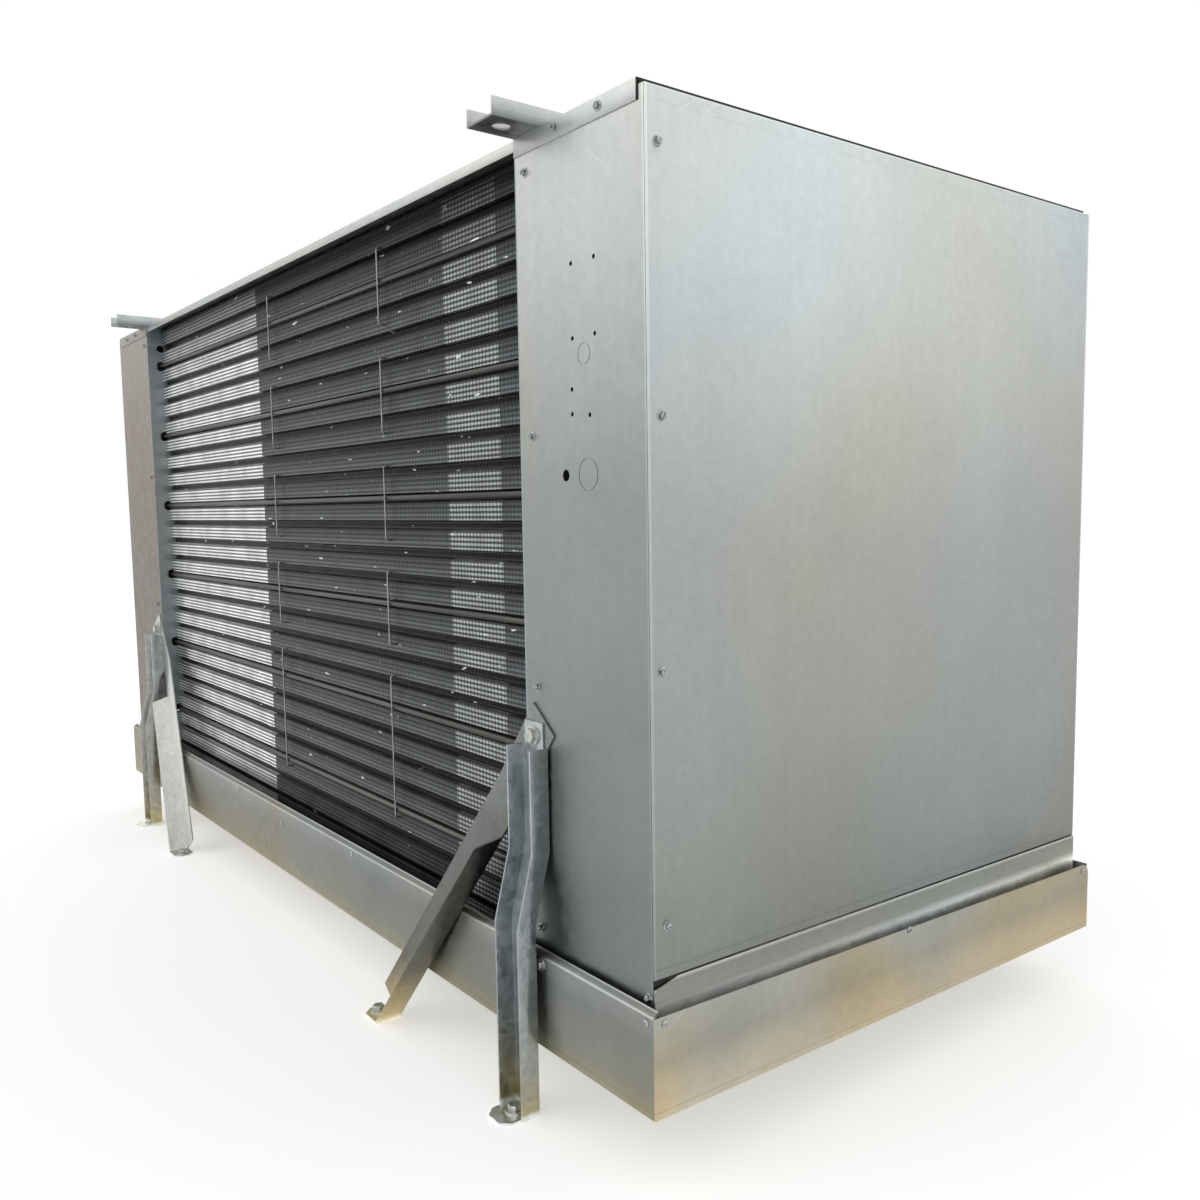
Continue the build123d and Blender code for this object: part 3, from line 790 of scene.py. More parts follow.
class Palette:
    """Every finish of the evaporator, made once."""

    def __init__(self) -> None:
        """Make the materials."""
        upright = (0.0, 0.9, 0.0)  # turn of the scratches on sheets that stand across Y
        # flat sheet with a painted reflection of a pale room: grey below, paler above, its folds as thin lines of
        # painted shade and highlight
        self.panel = ZincSheet("galvanised steel sheet, end panels", (
            (0.0, "8a8c86"), (0.12, "949690"), (0.5, "a7aaa8"), (0.8, "bfc3c2"), (1.0, "ced3d2")), 200, 1110,
            scratch=0.12, lines=(("Z", 228.0, 0.7, 0.8), ("Y", 391.5, 1.6, 1.22), ("Z", 1087.0, 0.5, 0.92),
                                ("Z", 1100.2, 0.9, 1.14))).material()
        # the same sheet turned from the light, in painted shade: greyer, with a painted highlight on the return beside
        # the end panel and a painted shadow line at its edge
        self.column = ZincSheet("galvanised steel sheet, columns", (
            (0.0, "7f8480"), (0.35, "8a8e8b"), (0.6, "9a9d9a"), (0.8, "b8bab7"), (1.0, "cacbc8")), 150, 1108,
            scratch=0.18, scratch_turn=upright, lines=(("X", 997.0, 1.2, 1.25), ("X", 998.6, 0.35, 0.15))).material()
        # sheet in painted shade: a brownish grey with plain mill streaks
        self.column_far = ZincSheet("galvanised steel sheet, left coil column", (
            (0.0, "7b7268"), (0.4, "7e756b"), (0.8, "90877d"), (1.0, "a0988e")), 150, 1108, streak=0.04,
            scratch_turn=upright).material()
        # level sheet with a painted reflection of the sky: pale, with painted shade in the seam above the end panel as
        # a dark line
        self.roof = ZincSheet("galvanised steel sheet, roof", (
            (0.0, "a6a7a5"), (0.5, "bbbdbb"), (1.0, "cdcfcc")), 1080, 1112, scratch_turn=upright,
            lines=(("X", 989.6, 1.2, 0.08),)).material()
        # as the roof, with painted shade in brownish grey on its flange
        self.roof_far = ZincSheet("galvanised steel sheet, left end cap", (
            (0.0, "9a9288"), (0.83, "a79f95"), (0.86, "c4c5c1"), (1.0, "cdcfcc")), 1080, 1112, scratch_turn=upright,
            lines=(("X", 989.6, 1.2, 0.08),)).material()
        # skirt: dull where it shows, and painted pale where it goes down into the pan, as painted light against the
        # pan's shade
        self.strip = ZincSheet("galvanised steel sheet, skirt", (
            (0.0, "f2f3f0"), (0.755, "f2f3f0"), (0.79, "bfc0bb"), (0.83, "94958e"), (0.9, "8d8e87"), (0.97, "898a83"),
            (1.0, "c4c5be")), 81, 216.5).material()
        # heavier sheet: cloudy, with a painted warm reflection at its foot, painted highlights and shade along its
        # folded lip, and painted shade in its hem crease
        self.pan = ZincSheet("galvanised steel sheet, drain pan", (
            (0.0, "a09a82"), (0.2, "8f8d82"), (0.7, "868782"), (0.92, "93948f"), (0.935, "c6c7c2"), (0.95, "7a7b76"),
            (0.975, "7a7b76"), (0.99, "cdcec9")), 79, 195,
            cloud=0.1, cloud_mm=180.0, scratch=0.2, scratch_turn=upright, warm="fff3d8", drift_mm=300.0,
            lines=(("Z", 87.0, 0.7, 0.82),)).material()
        # as the pan, paler, with a warmer painted reflection at its foot
        self.pan_end = ZincSheet("galvanised steel sheet, pan ends", (
            (0.0, "c8bfab"), (0.3, "b6af9f"), (0.55, "a19e93"), (1.0, "a6a59d")), 79, 190,
            cloud=0.09, cloud_mm=170.0, scratch=0.2, warm="fff5e0", drift_mm=230.0,
            lines=(("Z", 87.0, 0.7, 0.82),)).material()
        # thick zinc on folded steel: a plain spangle, with painted light on the foot plate and a painted ochre
        # reflection above it
        self.post = ZincSheet("hot-dip galvanised steel, posts", (
            (0.0, "eff0ec"), (0.008, "eff0ec"), (0.02, "b5aa88"), (0.12, "a5a49b"), (0.3, "a5a8a8"), (0.6, "a8abab"),
            (1.0, "b4b7b7")), 0, 458, cloud=0.12, cloud_mm=45.0, spangle=0.12, spangle_mm=9.0, scratch_turn=upright,
            roughness=0.32).material()
        # thick zinc with painted reflections: dark above, ochre near the floor, with painted light on its foot plate
        self.brace = ZincSheet("hot-dip galvanised steel, braces", (
            (0.0, "ece3c3"), (0.008, "ece3c3"), (0.02, "c9ba8f"), (0.1, "a6976d"), (0.2, "69655a"), (0.4, "64645d"),
            (0.7, "6c6d68"), (1.0, "828581")), 0, 470, cloud=0.14, cloud_mm=60.0, spangle=0.08, spangle_mm=9.0,
            scratch_turn=upright, roughness=0.32).material()
        # clean thick zinc: pale, with a fine bright spangle
        self.brace_far = ZincSheet("hot-dip galvanised steel, braces with bright spangle", (
            (0.0, "cfd0cd"), (0.5, "d8dad9"), (1.0, "c4c7c6")), 0, 470, cloud=0.05, cloud_mm=40.0, spangle=0.07,
            spangle_mm=8.0, scratch=0.1, warm="fcfcf8", roughness=0.36).material()
        # sheet in the shade of the coil: a bluish grey
        self.tube_sheet = ZincSheet("galvanised steel sheet, tube sheets", (
            (0.0, "989fa4"), (0.5, "a0a6aa"), (1.0, "a2a8ac")), 170, 1108).material()
        # small channels: a painted highlight on top, painted shade below
        self.hanger = ZincSheet("galvanised steel channel, hangers", (
            (0.0, "7f8282"), (0.15, "8b8e8e"), (0.5, "b2b5b5"), (1.0, "c9cccb")), 1106, 1130, spangle=0.08).material()
        self.fins = FinStock("rippled aluminium fin stock").material()
        # drawn tube: a dull sheen above, black with painted shade below
        self.rod = DrawnMetal("stainless steel tube, defrost rods", "6c6b65", "55544f", 0.34, 60.0,
                              (0.15, 1.0, 1.0), under=0.12).material()
        # plated wire: bright, with duller lengths
        self.wire = DrawnMetal("zinc-plated steel wire", "a2a4a4", "858788", 0.36, 25.0).material()
        # small plated heads: bright and blotched
        self.screw = DrawnMetal("zinc-plated steel, screws", "b9bcbb", "84878a", 0.3, 5.0).material()
        # zinc-dipped heads: pale and rough
        self.bolt = DrawnMetal("hot-dip galvanised steel, bolts", "cccec9", "9c9e9a", 0.42, 7.0).material()
        # baked paint: smooth and dark, with a slight orange peel
        self.motor = DrawnMetal("dark grey stove enamel, motors", "34383b", "2b2e30", 0.42, 50.0, grain_mm=2.2,
                                metallic=0.0).material()
        # pressed sheet: a soft sheen with faint upright streaks
        self.fan = DrawnMetal("mill-finish aluminium, fan blades", "a9adae", "8f9394", 0.36, 70.0,
                              (1.0, 1.0, 0.2)).material()
        # drawn brass: a dull yellow, browned in patches
        self.brass = DrawnMetal("drawn brass, drain outlet", "a98c4e", "7d6a41", 0.36, 15.0).material()


# ---------------------------------------------------------------- fasteners


@dataclass
class Fasteners:
    """Screws, rivets and bolts: each is modelled once, head up at the origin, then copied."""

    screw_across: float = 6.6
    screw_head: float = 3.4
    screw_washer: float = 5.4
    screw_rim: float = 0.9
    slot_width: float = 1.1
    slot_depth: float = 1.1
    bolt_across: float = 15.0
    bolt_head: float = 6.5
    bolt_washer: float = 11.5
    bolt_rim: float = 1.8
    small_across: float = 10.2
    small_head: float = 4.4
    small_washer: float = 7.6
    small_rim: float = 1.2
    chamfer_share: float = 0.09
    rim_rounding_share: float = 0.45
    flange_sides: int = 20
    rivet_radius: float = 4.2
    rivet_height: float = 1.9
    rivet_rounding: float = 1.5
    rivet_wall: float = 0.8
    rivet_hollow: float = 1.0
    rivet_sides: int = 18
    templates: dict[str, bpy.types.Object] = field(default_factory=dict)

    def hex_head(self, name: str, across: float, tall: float, seat: float, rim: float) -> bpy.types.Object:
        """Model a hexagon head with a chamfered top on a round flange.

        Args:
            name: Name of the template.
            across: Width across flats in millimetres.
            tall: Height of the head above the flange.
            seat: Radius of the flange.
            rim: Thickness of the flange.

        Returns:
            The template.
        """
        head = new_shape(name, bpy.ops.mesh.primitive_cylinder_add, vertices=6, depth=tall * MM,
                         radius=across / math.sqrt(3) * MM, location=(0, 0, (rim + tall / 2) * MM))
        top = (rim + tall) * MM
        pick(head, edges=lambda a, b: min(a.z, b.z) > top - TOUCH)
        bpy.ops.mesh.bevel(offset=self.chamfer_share * across * MM, segments=1)
        leave_edit()
        flange = new_shape(f"{name}_flange", bpy.ops.mesh.primitive_cylinder_add, vertices=self.flange_sides,
                           radius=seat * MM, depth=rim * MM, location=(0, 0, rim / 2 * MM))
        pick(flange, edges=lambda a, b: min(a.z, b.z) > rim * MM - TOUCH)
        bpy.ops.mesh.bevel(offset=self.rim_rounding_share * rim * MM, segments=2)
        leave_edit()
        soften(flange)
        self.templates[name] = join(name, [head, flange])
        return self.templates[name]

    def slotted_screw(self) -> None:
        """Model a slotted hexagon washer-head sheet-metal screw."""
        screw = self.hex_head("screw", self.screw_across, self.screw_head, self.screw_washer, self.screw_rim)
        half_slot = self.slot_width / 2 * MM
        top = (self.screw_head + self.screw_rim) * MM
        for side in (-half_slot, half_slot):
            pick(screw, faces=lambda middle, normal: middle.z > top - TOUCH)
            bpy.ops.mesh.bisect(plane_co=(0, side, 0), plane_no=(0, 1, 0))
            leave_edit()
        pick(screw, faces=lambda middle, normal: middle.z > top - TOUCH and abs(middle.y) < half_slot)
        bpy.ops.mesh.extrude_region_move(TRANSFORM_OT_translate={"value": (0, 0, -self.slot_depth * MM)})
        leave_edit()

    def rivet(self) -> None:
        """Model a domed blind rivet with its hollow middle."""
        top = self.rivet_height * MM
        dome = new_shape("rivet", bpy.ops.mesh.primitive_cylinder_add, vertices=self.rivet_sides, depth=top,
                         radius=self.rivet_radius * MM, location=(0, 0, top / 2))
        pick(dome, edges=lambda a, b: min(a.z, b.z) > top - TOUCH)
        bpy.ops.mesh.bevel(offset=self.rivet_rounding * MM, segments=3)
        leave_edit()
        pick(dome, faces=lambda middle, normal: middle.z > top - TOUCH)
        bpy.ops.mesh.inset(thickness=self.rivet_wall * MM)
        bpy.ops.mesh.extrude_region_move(TRANSFORM_OT_translate={"value": (0, 0, -self.rivet_hollow * MM)})
        leave_edit()
        soften(dome)
        self.templates["rivet"] = dome

    def build(self) -> None:
        """Model all templates."""
        self.slotted_screw()
        self.rivet()
        self.hex_head("bolt", self.bolt_across, self.bolt_head, self.bolt_washer, self.bolt_rim)
        self.hex_head("small_bolt", self.small_across, self.small_head, self.small_washer, self.small_rim)

    def place(self, name: str, kind: str, places: list[Matrix], finish: bpy.types.Material, slot: str) -> None:
        """Copy a fastener to its places as one piece.

        Args:
            name: Name of the piece.
            kind: Name of the template.
            places: One matrix for each copy.
            finish: Its material.
            slot: Name of its material slot, passed on to settle.
        """
        settle(scatter(name, self.templates[kind], places), finish, slot)

    def clear(self) -> None:
        """Remove the templates once every copy is made."""
        for template in self.templates.values():
            bpy.data.objects.remove(template)


# ---------------------------------------------------------------- sub-assemblies


@dataclass
class Cabinet:
    """End panels, columns, skirts, roof and fan panel of folded sheet."""

    rounding: float = 0.5
    hanger_rounding: float = 0.8
    panel_face: float = 1000.0
    column_face: float = 393.0
    cap_face: float = 394.5
    panel_screws: tuple[tuple[float, float], ...] = ((378, 1049.5), (376, 790), (378.6, 536), (375, 273))
    column_screws: tuple[tuple[float, float], ...] = (
        (786.4, 1067.5), (790.5, 781.4), (791, 498.4), (788.8, 212.8), (991.3, 197.7))
    cap_screws: tuple[tuple[float, float], ...] = ((850, 1098.5), (927, 1098.5))

    def build(self, finishes: Palette) -> None:
        """Round the folded sheets.

        Args:
            finishes: The evaporator's materials.
        """
        for end in End:
            side = end.word
            rolled_copy(f"end_panel_{side}", self.rounding, finishes.panel, "galvanised_sheet")
            rolled_copy(f"base_strip_{side}", self.rounding, finishes.strip, "galvanised_sheet")
            rolled_copy(f"end_cap_{side}", self.rounding, finishes.roof if end is End.RIGHT else finishes.roof_far,
                        "galvanised_sheet")
            rolled_copy(f"hanger_rail_{side}", self.hanger_rounding, finishes.hanger, "galvanised_sheet")
            for flank in Flank:
                # the left coil column's sheet carries painted shade in its colour
                in_painted_shade = end is End.LEFT and flank is Flank.COIL
                dress(f"{flank.word}_column_{side}", finishes.column_far if in_painted_shade else finishes.column)
        rolled_copy("top_cover", self.rounding, finishes.roof, "galvanised_sheet")
        dress("fan_panel", finishes.column)

    def fasten(self, fasteners: Fasteners, finishes: Palette) -> None:
        """Screw the sheets together, each screw turned as far as it happened to go.

        Args:
            fasteners: The fasteners to copy.
            finishes: The evaporator's materials.
        """
        for end in End:
            x = end.value
            places = [facing((x * self.panel_face, -y, z), (x, 0, 0), 40 * n + 25)
                      for n, (y, z) in enumerate(self.panel_screws)]
            fasteners.place(f"panel_screws_{end.word}", "screw", places, finishes.screw, "galvanised_sheet")
            for flank in Flank:
                y = flank.value
                places = [facing((x * across, y * self.column_face, z), (0, y, 0), 35 * n + 10)
                          for n, (across, z) in enumerate(self.column_screws)]
                places += [facing((x * across, y * self.cap_face, z), (0, y, 0), 50 * n)
                           for n, (across, z) in enumerate(self.cap_screws)]
                fasteners.place(f"{flank.word}_column_screws_{end.word}", "screw", places, finishes.screw,
                                "galvanised_sheet")


@dataclass
class CoilBlock:
    """Fin leaves, defrost rods, wire clips and tube sheets."""

    fin_face: float = -364.0
    leaf_depth: float = 20.0
    core_back: float = 0.2
    bottom: float = 184.9
    pitch: float = 38.1
    rows_in_leaf: int = 6
    leaves: int = 4
    fin_pitch: float = 8.6
    fins: int = 178
    thickness: float = 0.35
    groove_height: float = 14.0
    groove_floor: float = 9.0
    groove_depth: float = 9.0
    rods: int = 6
    rod_front: float = -370.5
    clip_radius: float = 1.25
    clip_bend: float = 3.5
    clip_x: dict[End, float] = field(default_factory=lambda: {End.LEFT: -80.0, End.RIGHT: 359.0})
    clip_spans: tuple[tuple[float, float], ...] = (
        (962.14, 1070.73), (809.74, 918.33), (657.34, 765.93), (504.94, 613.53), (247.1, 461.13))

    def one_row(self) -> bpy.types.Object:
        """Model one tube row of a fin, open above and below and set back at both ends.

        Returns:
            The row, at the lowest left corner of the coil.
        """
        left = -(self.fins - 1) * self.fin_pitch / 2
        row = new_shape("fin_leaves", bpy.ops.mesh.primitive_cube_add, size=1.0,
                        scale=(self.thickness * MM, self.leaf_depth * MM, self.pitch * MM),
                        location=(left * MM, (self.fin_face + self.leaf_depth / 2) * MM,
                                  (self.bottom + self.pitch / 2) * MM))
        middle = (self.bottom + self.pitch / 2) * MM
        inner = (self.pitch - self.groove_height) / 2 * MM
        outer = (self.pitch - self.groove_floor) / 2 * MM
        for level in (-outer, -inner, inner, outer):
            pick(row, faces=lambda place, normal: True)
            bpy.ops.mesh.bisect(plane_co=(0, 0, middle + level), plane_no=(0, 0, 1))
            leave_edit()
        pick(row, faces=lambda place, normal: abs(normal.z) > ALONG)
        bpy.ops.mesh.delete(type="FACE")
        leave_edit()
        front = (self.fin_face + MARGIN) * MM
        pick(row, points=lambda place: place.y < front and abs(place.z - middle) > outer - TOUCH)
        bpy.ops.transform.translate(value=(0, self.groove_depth * MM, 0))
        leave_edit()
        return row

    def build_fins(self, finishes: Palette) -> None:
        """Stack rows into a leaf, close its ends, and repeat it up and along the coil.

        Args:
            finishes: The evaporator's materials.
        """
        leaf = self.one_row()
        apply_modifier(leaf, "ARRAY", count=self.rows_in_leaf, use_relative_offset=False, use_constant_offset=True,
                       constant_offset_displace=(0, 0, self.pitch * MM), use_merge_vertices=True,
                       merge_threshold=MERGE)
        ends = (self.bottom * MM, (self.bottom + self.rows_in_leaf * self.pitch) * MM)
        for level in ends:
            pick(leaf, points=lambda place: abs(place.z - level) < TOUCH)
            bpy.ops.mesh.edge_face_add()
            leave_edit()
        pick(leaf, faces=lambda place, normal: True)
        bpy.ops.mesh.dissolve_limited(angle_limit=math.radians(FLAT))
        bpy.ops.mesh.normals_make_consistent(inside=False)
        leave_edit()
        apply_modifier(leaf, "ARRAY", count=self.leaves, use_relative_offset=False, use_constant_offset=True,
                       constant_offset_displace=(0, 0, self.rows_in_leaf * self.pitch * MM))
        apply_modifier(leaf, "ARRAY", count=self.fins, use_relative_offset=False, use_constant_offset=True,
                       constant_offset_displace=(self.fin_pitch * MM, 0, 0))
        settle(leaf, finishes.fins, "fin_aluminium", "fin_pack")

    def build_core(self, finishes: Palette) -> None:
        """Set a copy of the solid block back from the fins' edges, as the dark between them.

        Args:
            finishes: The evaporator's materials.
        """
        core = merged_copy("fin_pack", "fin_core")
        front = (self.fin_face + self.groove_depth + MARGIN) * MM
        pick(core, points=lambda place: place.y < front and place.z > (self.bottom - MARGIN) * MM)
        bpy.ops.transform.translate(value=(0, self.core_back * MM, 0))
        leave_edit()
        settle(core, finishes.fins, "fin_aluminium", "fin_pack")

    def build_clips(self, end: End, finishes: Palette) -> None:
        """Bend one column of wire clips over the rods, with their ends turned in to the fins.

        Args:
            end: The end of the coil that the column is nearer to.
            finishes: The evaporator's materials.
        """
        x, r = self.clip_x[end], self.clip_radius
        y = self.rod_front - r
        clips = [bent_wire("clip", [(x, self.fin_face, foot + r), (x, y, foot + r), (x, y, top - r),
                                    (x, self.fin_face, top - r)], r, self.clip_bend)
                 for foot, top in self.clip_spans]
        settle(join(f"clips_{end.word}", clips), finishes.wire, "steel_wire", f"rod_clips_{end.word}")

    def build(self, finishes: Palette) -> None:
        """Make the fins and dress what holds them.

        Args:
            finishes: The evaporator's materials.
        """
        self.build_core(finishes)
        self.build_fins(finishes)
        for n in range(self.rods):
            rod = merged_copy(f"defrost_rod_{n + 1}", f"rod_{n + 1}")
            soften(rod, ROUND)
            settle(rod, finishes.rod, "rod_steel", f"defrost_rod_{n + 1}")
        for end in End:
            dress(f"tube_sheet_{end.word}", finishes.tube_sheet)
            self.build_clips(end, finishes)


@dataclass
class DrainPan:
    """The folded pan with its outlet, rivets and dimples."""

    rounding: float = 0.6
    front_face: float = -407.0
    end_face: float = 1017.0
    front_dimples: tuple[tuple[float, float], ...] = ((275, 180), (-23, 163), (-252, 181))
    bolt_at: tuple[float, float] = (808, 178.5)
    corner_rivet: tuple[float, float] = (1004, 180)
    end_rivets: tuple[tuple[float, float], ...] = ((-393.5, 180), (-4, 179), (396, 166))

    def build(self, finishes: Palette) -> None:
        """Round the pan's folds.

        Args:
            finishes: The evaporator's materials.
        """
        rolled_copy("drain_pan", self.rounding, finishes.pan, "pan_steel")
        for end in End:
            rolled_copy(f"pan_end_{end.word}", self.rounding, finishes.pan_end, "pan_steel")
        dress("drain_outlet", finishes.brass)

    def fasten(self, fasteners: Fasteners, finishes: Palette) -> None:
        """Rivet and bolt the pan.

        Args:
            fasteners: The fasteners to copy.
            finishes: The evaporator's materials.
        """
        for end in End:
            places = [facing((end.value * self.end_face, y, z), (end.value, 0, 0)) for y, z in self.end_rivets]
            x, z = self.corner_rivet
            places.append(facing((end.value * x, self.front_face, z), (0, -1, 0)))
            fasteners.place(f"pan_rivets_{end.word}", "rivet", places, finishes.screw, "pan_steel")
        x, z = self.bolt_at
        fasteners.place("pan_bolts", "small_bolt", [facing((end.value * x, self.front_face, z), (0, -1, 0), 12)
                                                    for end in End], finishes.bolt, "pan_steel")
        fasteners.place("pan_studs", "rivet", [facing((x, self.front_face, z), (0, -1, 0))
                                               for x, z in self.front_dimples], finishes.bolt, "pan_steel")


@dataclass
class LegSet:
    """Cranked posts and angle braces with their bolts."""

    rounding: float = 0.9
    bolt_x: float = 787.5
    bolt_y: float = 398.0
    bolt_z: float = 442.0
    foot_y: float = 435.0
    brace_foot_x: dict[End, float] = field(default_factory=lambda: {End.RIGHT: 439.5, End.LEFT: -499.5})
    brace_foot_y: float = 445.0
    sheet: float = 2.5

    def build(self, finishes: Palette) -> None:
        """Round the folds of the legs.

        Args:
            finishes: The evaporator's materials.
        """
        for end in End:
            for flank in Flank:
                rolled_copy(f"{flank.word}_post_{end.word}", self.rounding, finishes.post, "leg_steel")
                # the coil-side brace at the right end carries painted reflections in its colour
                with_painted_reflections = end is End.RIGHT and flank is Flank.COIL
                brace = finishes.brace if with_painted_reflections else finishes.brace_far
                rolled_copy(f"{flank.word}_brace_{end.word}", self.rounding, brace, "leg_steel")

    def fasten(self, fasteners: Fasteners, finishes: Palette) -> None:
        """Bolt the posts to the cabinet and the feet to the floor.

        Args:
            fasteners: The fasteners to copy.
            finishes: The evaporator's materials.
        """
        for flank in Flank:
            y = flank.value
            places = []
            for end in End:
                places.append(facing((end.value * self.bolt_x, y * self.bolt_y, self.bolt_z), (0, y, 0), 18))
                places.append(facing((end.value * self.bolt_x, y * self.foot_y, self.sheet), (0, 0, 1), 8))
                places.append(facing((self.brace_foot_x[end], y * self.brace_foot_y, self.sheet), (0, 0, 1), 22))
            fasteners.place(f"{flank.word}_leg_bolts", "bolt", places, finishes.bolt, "leg_steel")


@dataclass
class FanBank:
    """Two fans with their motors, mounts and round-wire guards."""

    centre_x: float = 384.0
    centre_z: float = 659.5
    panel_face: float = 393.0
    wire: float = 2.6
    wire_sides: int = 6
    rim: float = 336.0
    rings: int = 7
    ring_steps: int = 56
    spokes: int = 8
    spoke_bend: float = 12.0
    spoke_lap: float = 4.0
    stand: float = 47.4
    disc: float = 50.0
    disc_sides: int = 40
    disc_thickness: float = 3.0
    disc_rim: float = 7.0
    disc_dish: float = 1.5
    screw_reach: float = 12.0

    def ring(self, radius: float) -> bpy.types.Object:
        """Model one wire ring about the origin, standing across Y.

        Args:
            radius: Radius of the ring in millimetres.

        Returns:
            The ring.
        """
        return new_shape("guard_ring", bpy.ops.mesh.primitive_torus_add, major_segments=self.ring_steps,
                         minor_segments=self.wire_sides, major_radius=radius * MM, minor_radius=self.wire * MM,
                         rotation=(math.pi / 2, 0, 0), location=(0, self.stand * MM, 0))

    def spoke(self) -> bpy.types.Object:
        """Bend one wire spoke that rises from the panel and turns in to the middle disc, along +X."""
        return bent_wire("guard_spoke", [(self.rim, 0, 0), (self.rim, self.stand, 0),
                                         (self.disc - self.spoke_lap, self.stand, 0)],
                         self.wire, self.spoke_bend, self.wire_sides)

    def build_guard(self, end: End, finishes: Palette) -> None:
        """Join rings, spokes and a dished middle disc into one guard.

        Args:
            end: The end of the cabinet that it is nearer to.
            finishes: The evaporator's materials.
        """
        step = (self.rim - self.disc) / self.rings
        parts = [self.ring(self.disc + step * (n + 1)) for n in range(self.rings)]
        spoke = self.spoke()
        parts.append(scatter("guard_spokes", spoke, [Matrix.Rotation(2 * math.pi * n / self.spokes, 4, "Y")
                                                     for n in range(self.spokes)]))
        bpy.data.objects.remove(spoke)
        disc = new_shape("guard_disc", bpy.ops.mesh.primitive_cylinder_add, vertices=self.disc_sides,
                         radius=self.disc * MM, depth=self.disc_thickness * MM, rotation=(math.pi / 2, 0, 0),
                         location=(0, self.stand * MM, 0))
        pick(disc, faces=lambda middle, normal: normal.y > ALONG)
        bpy.ops.mesh.inset(thickness=self.disc_rim * MM)
        bpy.ops.mesh.extrude_region_move(TRANSFORM_OT_translate={"value": (0, -self.disc_dish * MM, 0)})
        leave_edit()
        guard = join(f"guard_{end.word}", parts + [disc])
        guard.data.transform(Matrix.Translation((end.value * self.centre_x * MM, self.panel_face * MM,
                                                 self.centre_z * MM)))
        soften(guard, ROUND)
        settle(guard, finishes.wire, "steel_wire", f"fan_guard_{end.word}")

    def build(self, finishes: Palette) -> None:
        """Make the guards and dress what turns behind them.

        Args:
            finishes: The evaporator's materials.
        """
        for end in End:
            self.build_guard(end, finishes)
            dress(f"fan_{end.word}", finishes.fan)
            dress(f"fan_motor_{end.word}", finishes.motor)
            dress(f"motor_mount_{end.word}", finishes.column)

    def fasten(self, fasteners: Fasteners, finishes: Palette) -> None:
        """Screw the spokes' feet to the fan panel.

        Args:
            fasteners: The fasteners to copy.
            finishes: The evaporator's materials.
        """
        reach = self.rim + self.screw_reach
        places = [facing((end.value * self.centre_x + reach * math.cos(turn), self.panel_face,
                          self.centre_z + reach * math.sin(turn)), (0, 1, 0), 33 * n)
                  for end in End for n in range(self.spokes) for turn in [2 * math.pi * n / self.spokes]]
        fasteners.place("guard_screws", "screw", places, finishes.screw, "steel_wire")


# ---------------------------------------------------------------- studio


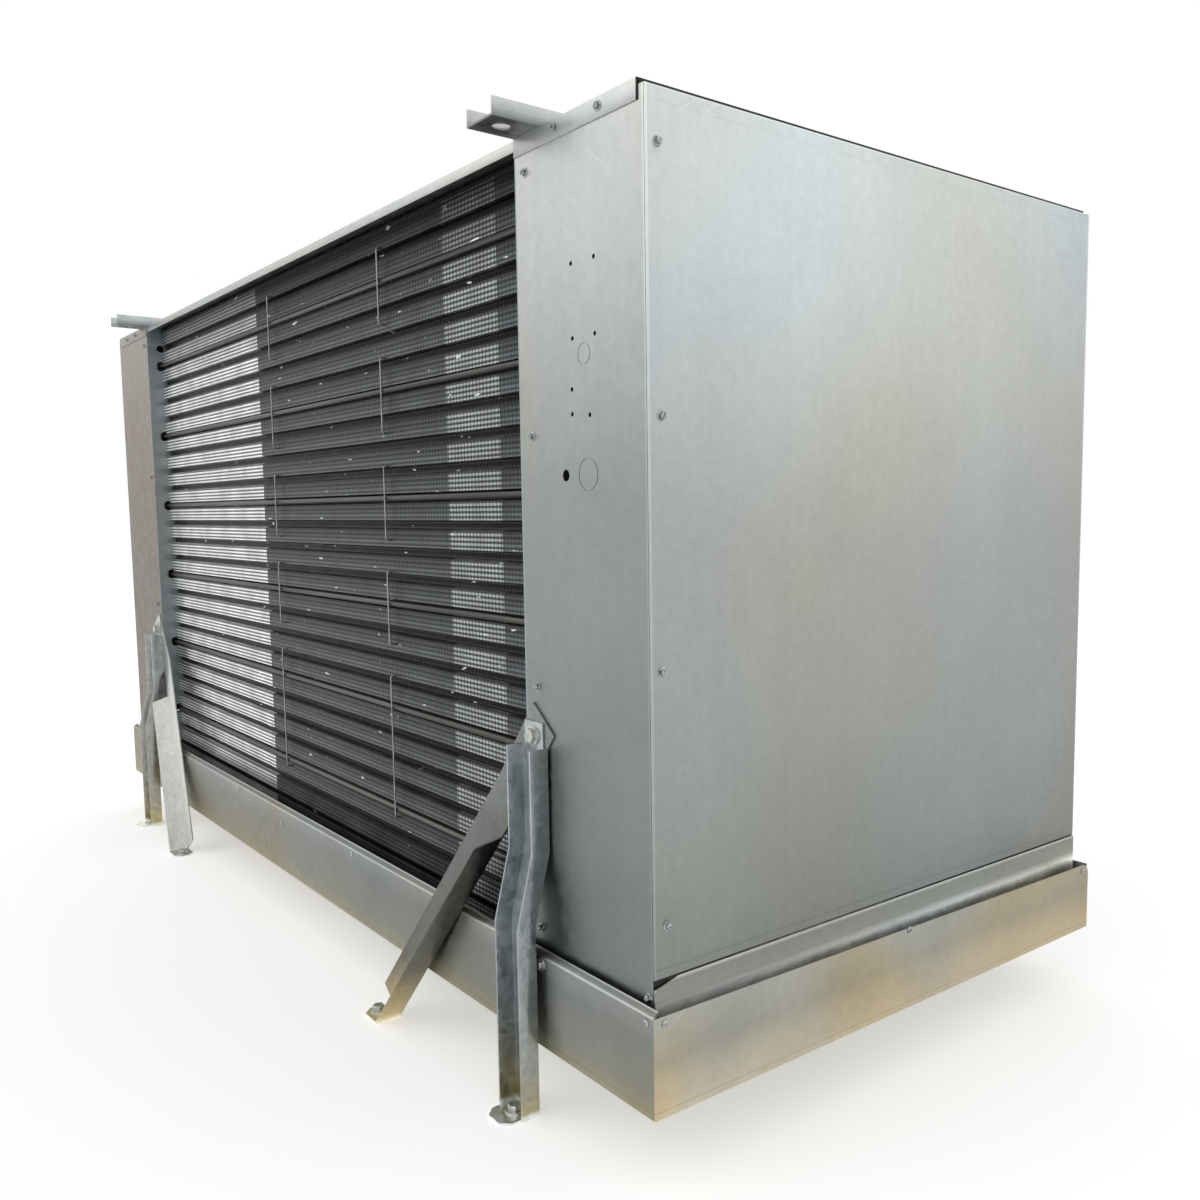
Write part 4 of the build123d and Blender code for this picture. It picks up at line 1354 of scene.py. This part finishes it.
@dataclass
class Studio:
    """Pale floor, soft light and the camera at the photograph's viewing angle."""

    eye: tuple[float, float, float] = (1.8512, -1.0639, 0.6979)
    azimuth: float = 50.946
    pitch: float = 5.630
    roll: float = -0.562
    lens: float = 33.03
    sensor: float = 36.0
    shift: tuple[float, float] = (-0.0547, 0.0154)
    sight: tuple[float, float] = (0.05, 200.0)
    floor_half: float = 30.0
    floor_drop: float = 0.0004
    floor_colour: str = "fafafa"
    floor_glow: float = 0.43
    ambient: float = 0.62
    # place, width and watts of each lamp
    lamps: tuple[tuple[tuple[float, float, float], float, float], ...] = (
        ((4.6, 2.6, 3.6), 4.0, 16.0), ((-1.5, -4.5, 3.8), 4.0, 38.0), ((-3.0, 4.0, 3.5), 4.0, 20.0))
    look_at: tuple[float, float, float] = (0.0, 0.0, 0.6)

    def build_world(self) -> None:
        """White for what the camera and polished metal see, and a softer level for the light it gives."""
        world = bpy.data.worlds.new("studio")
        world.use_nodes = True
        bpy.context.scene.world = world
        tree = world.node_tree
        path = add_node(tree, "ShaderNodeLightPath").outputs
        seen = add_node(tree, "ShaderNodeMath", {0: path["Is Camera Ray"], 1: path["Is Glossy Ray"]},
                        operation="MAXIMUM")
        seen = add_node(tree, "ShaderNodeMath", {0: seen.outputs[0], 1: path["Is Transmission Ray"]},
                        operation="MAXIMUM")
        level = add_node(tree, "ShaderNodeMapRange", {"Value": seen.outputs[0], "To Min": self.ambient, "To Max": 1.0})
        background = tree.nodes["Background"]
        background.inputs["Color"].default_value = linear("ffffff")
        tree.links.new(level.outputs[0], background.inputs["Strength"])

    def build_floor(self) -> None:
        """Plain matt floor, white to the eye and in reflections, that takes the object's shadow."""
        floor = new_shape("floor", bpy.ops.mesh.primitive_plane_add, size=2 * self.floor_half,
                          location=(0, 0, -self.floor_drop))
        made = bpy.data.materials.new("matt white studio floor")
        made.use_nodes = True
        tree = made.node_tree
        shader = tree.nodes["Principled BSDF"]
        shader.inputs["Base Color"].default_value = linear(self.floor_colour)
        shader.inputs["Roughness"].default_value = 0.9
        shader.inputs["Specular IOR Level"].default_value = 0.0
        path = add_node(tree, "ShaderNodeLightPath").outputs
        seen = add_node(tree, "ShaderNodeMath", {0: path["Is Camera Ray"], 1: path["Is Glossy Ray"]},
                        operation="MAXIMUM")
        glow = add_node(tree, "ShaderNodeMath", {0: seen.outputs[0], 1: self.floor_glow}, operation="MULTIPLY")
        shader.inputs["Emission Color"].default_value = linear("ffffff")
        tree.links.new(glow.outputs[0], shader.inputs["Emission Strength"])
        floor.data.materials.append(made)

    def build_lamps(self) -> None:
        """Large soft lamps above the object."""
        for n, (place, size, power) in enumerate(self.lamps):
            lamp = bpy.data.lights.new(f"softbox_{n + 1}", "AREA")
            lamp.size, lamp.energy = size, power
            holder = bpy.data.objects.new(lamp.name, lamp)
            aim = (Vector(self.look_at) - Vector(place)).to_track_quat("-Z", "Y").to_matrix().to_4x4()
            holder.matrix_world = Matrix.Translation(place) @ aim
            bpy.context.scene.collection.objects.link(holder)

    def build_camera(self) -> None:
        """Camera at the photograph's place, turned a little about its own axis as the photograph is."""
        turn, tilt, lean = (math.radians(a) for a in (self.azimuth, self.pitch, self.roll))
        ahead = Vector((-math.sin(turn) * math.cos(tilt), math.cos(turn) * math.cos(tilt), -math.sin(tilt)))
        right = Vector((math.cos(turn), math.sin(turn), 0))
        up = right.cross(ahead)
        across = math.cos(lean) * right + math.sin(lean) * up
        upright = -math.sin(lean) * right + math.cos(lean) * up
        lens = bpy.data.cameras.new("camera")
        lens.lens, lens.sensor_width = self.lens, self.sensor
        lens.shift_x, lens.shift_y = self.shift
        lens.clip_start, lens.clip_end = self.sight
        camera = bpy.data.objects.new("camera", lens)
        camera.matrix_world = Matrix.Translation(self.eye) @ Matrix((across, upright, -ahead)).transposed().to_4x4()
        bpy.context.scene.collection.objects.link(camera)
        bpy.context.scene.camera = camera

    def build(self) -> None:
        """Set up the whole studio."""
        bpy.context.scene.view_settings.view_transform = "Standard"
        self.build_world()
        self.build_floor()
        self.build_lamps()
        self.build_camera()


def main() -> None:
    """Build every sub-assembly."""
    logging.basicConfig(level=logging.INFO, format="%(name)s %(message)s")
    finishes = Palette()
    fasteners = Fasteners()
    fasteners.build()
    CoilBlock().build(finishes)
    for part in (Cabinet(), DrainPan(), LegSet(), FanBank()):
        part.build(finishes)
        part.fasten(fasteners, finishes)
    fasteners.clear()
    Studio().build()


if __name__ == "__main__":
    main()
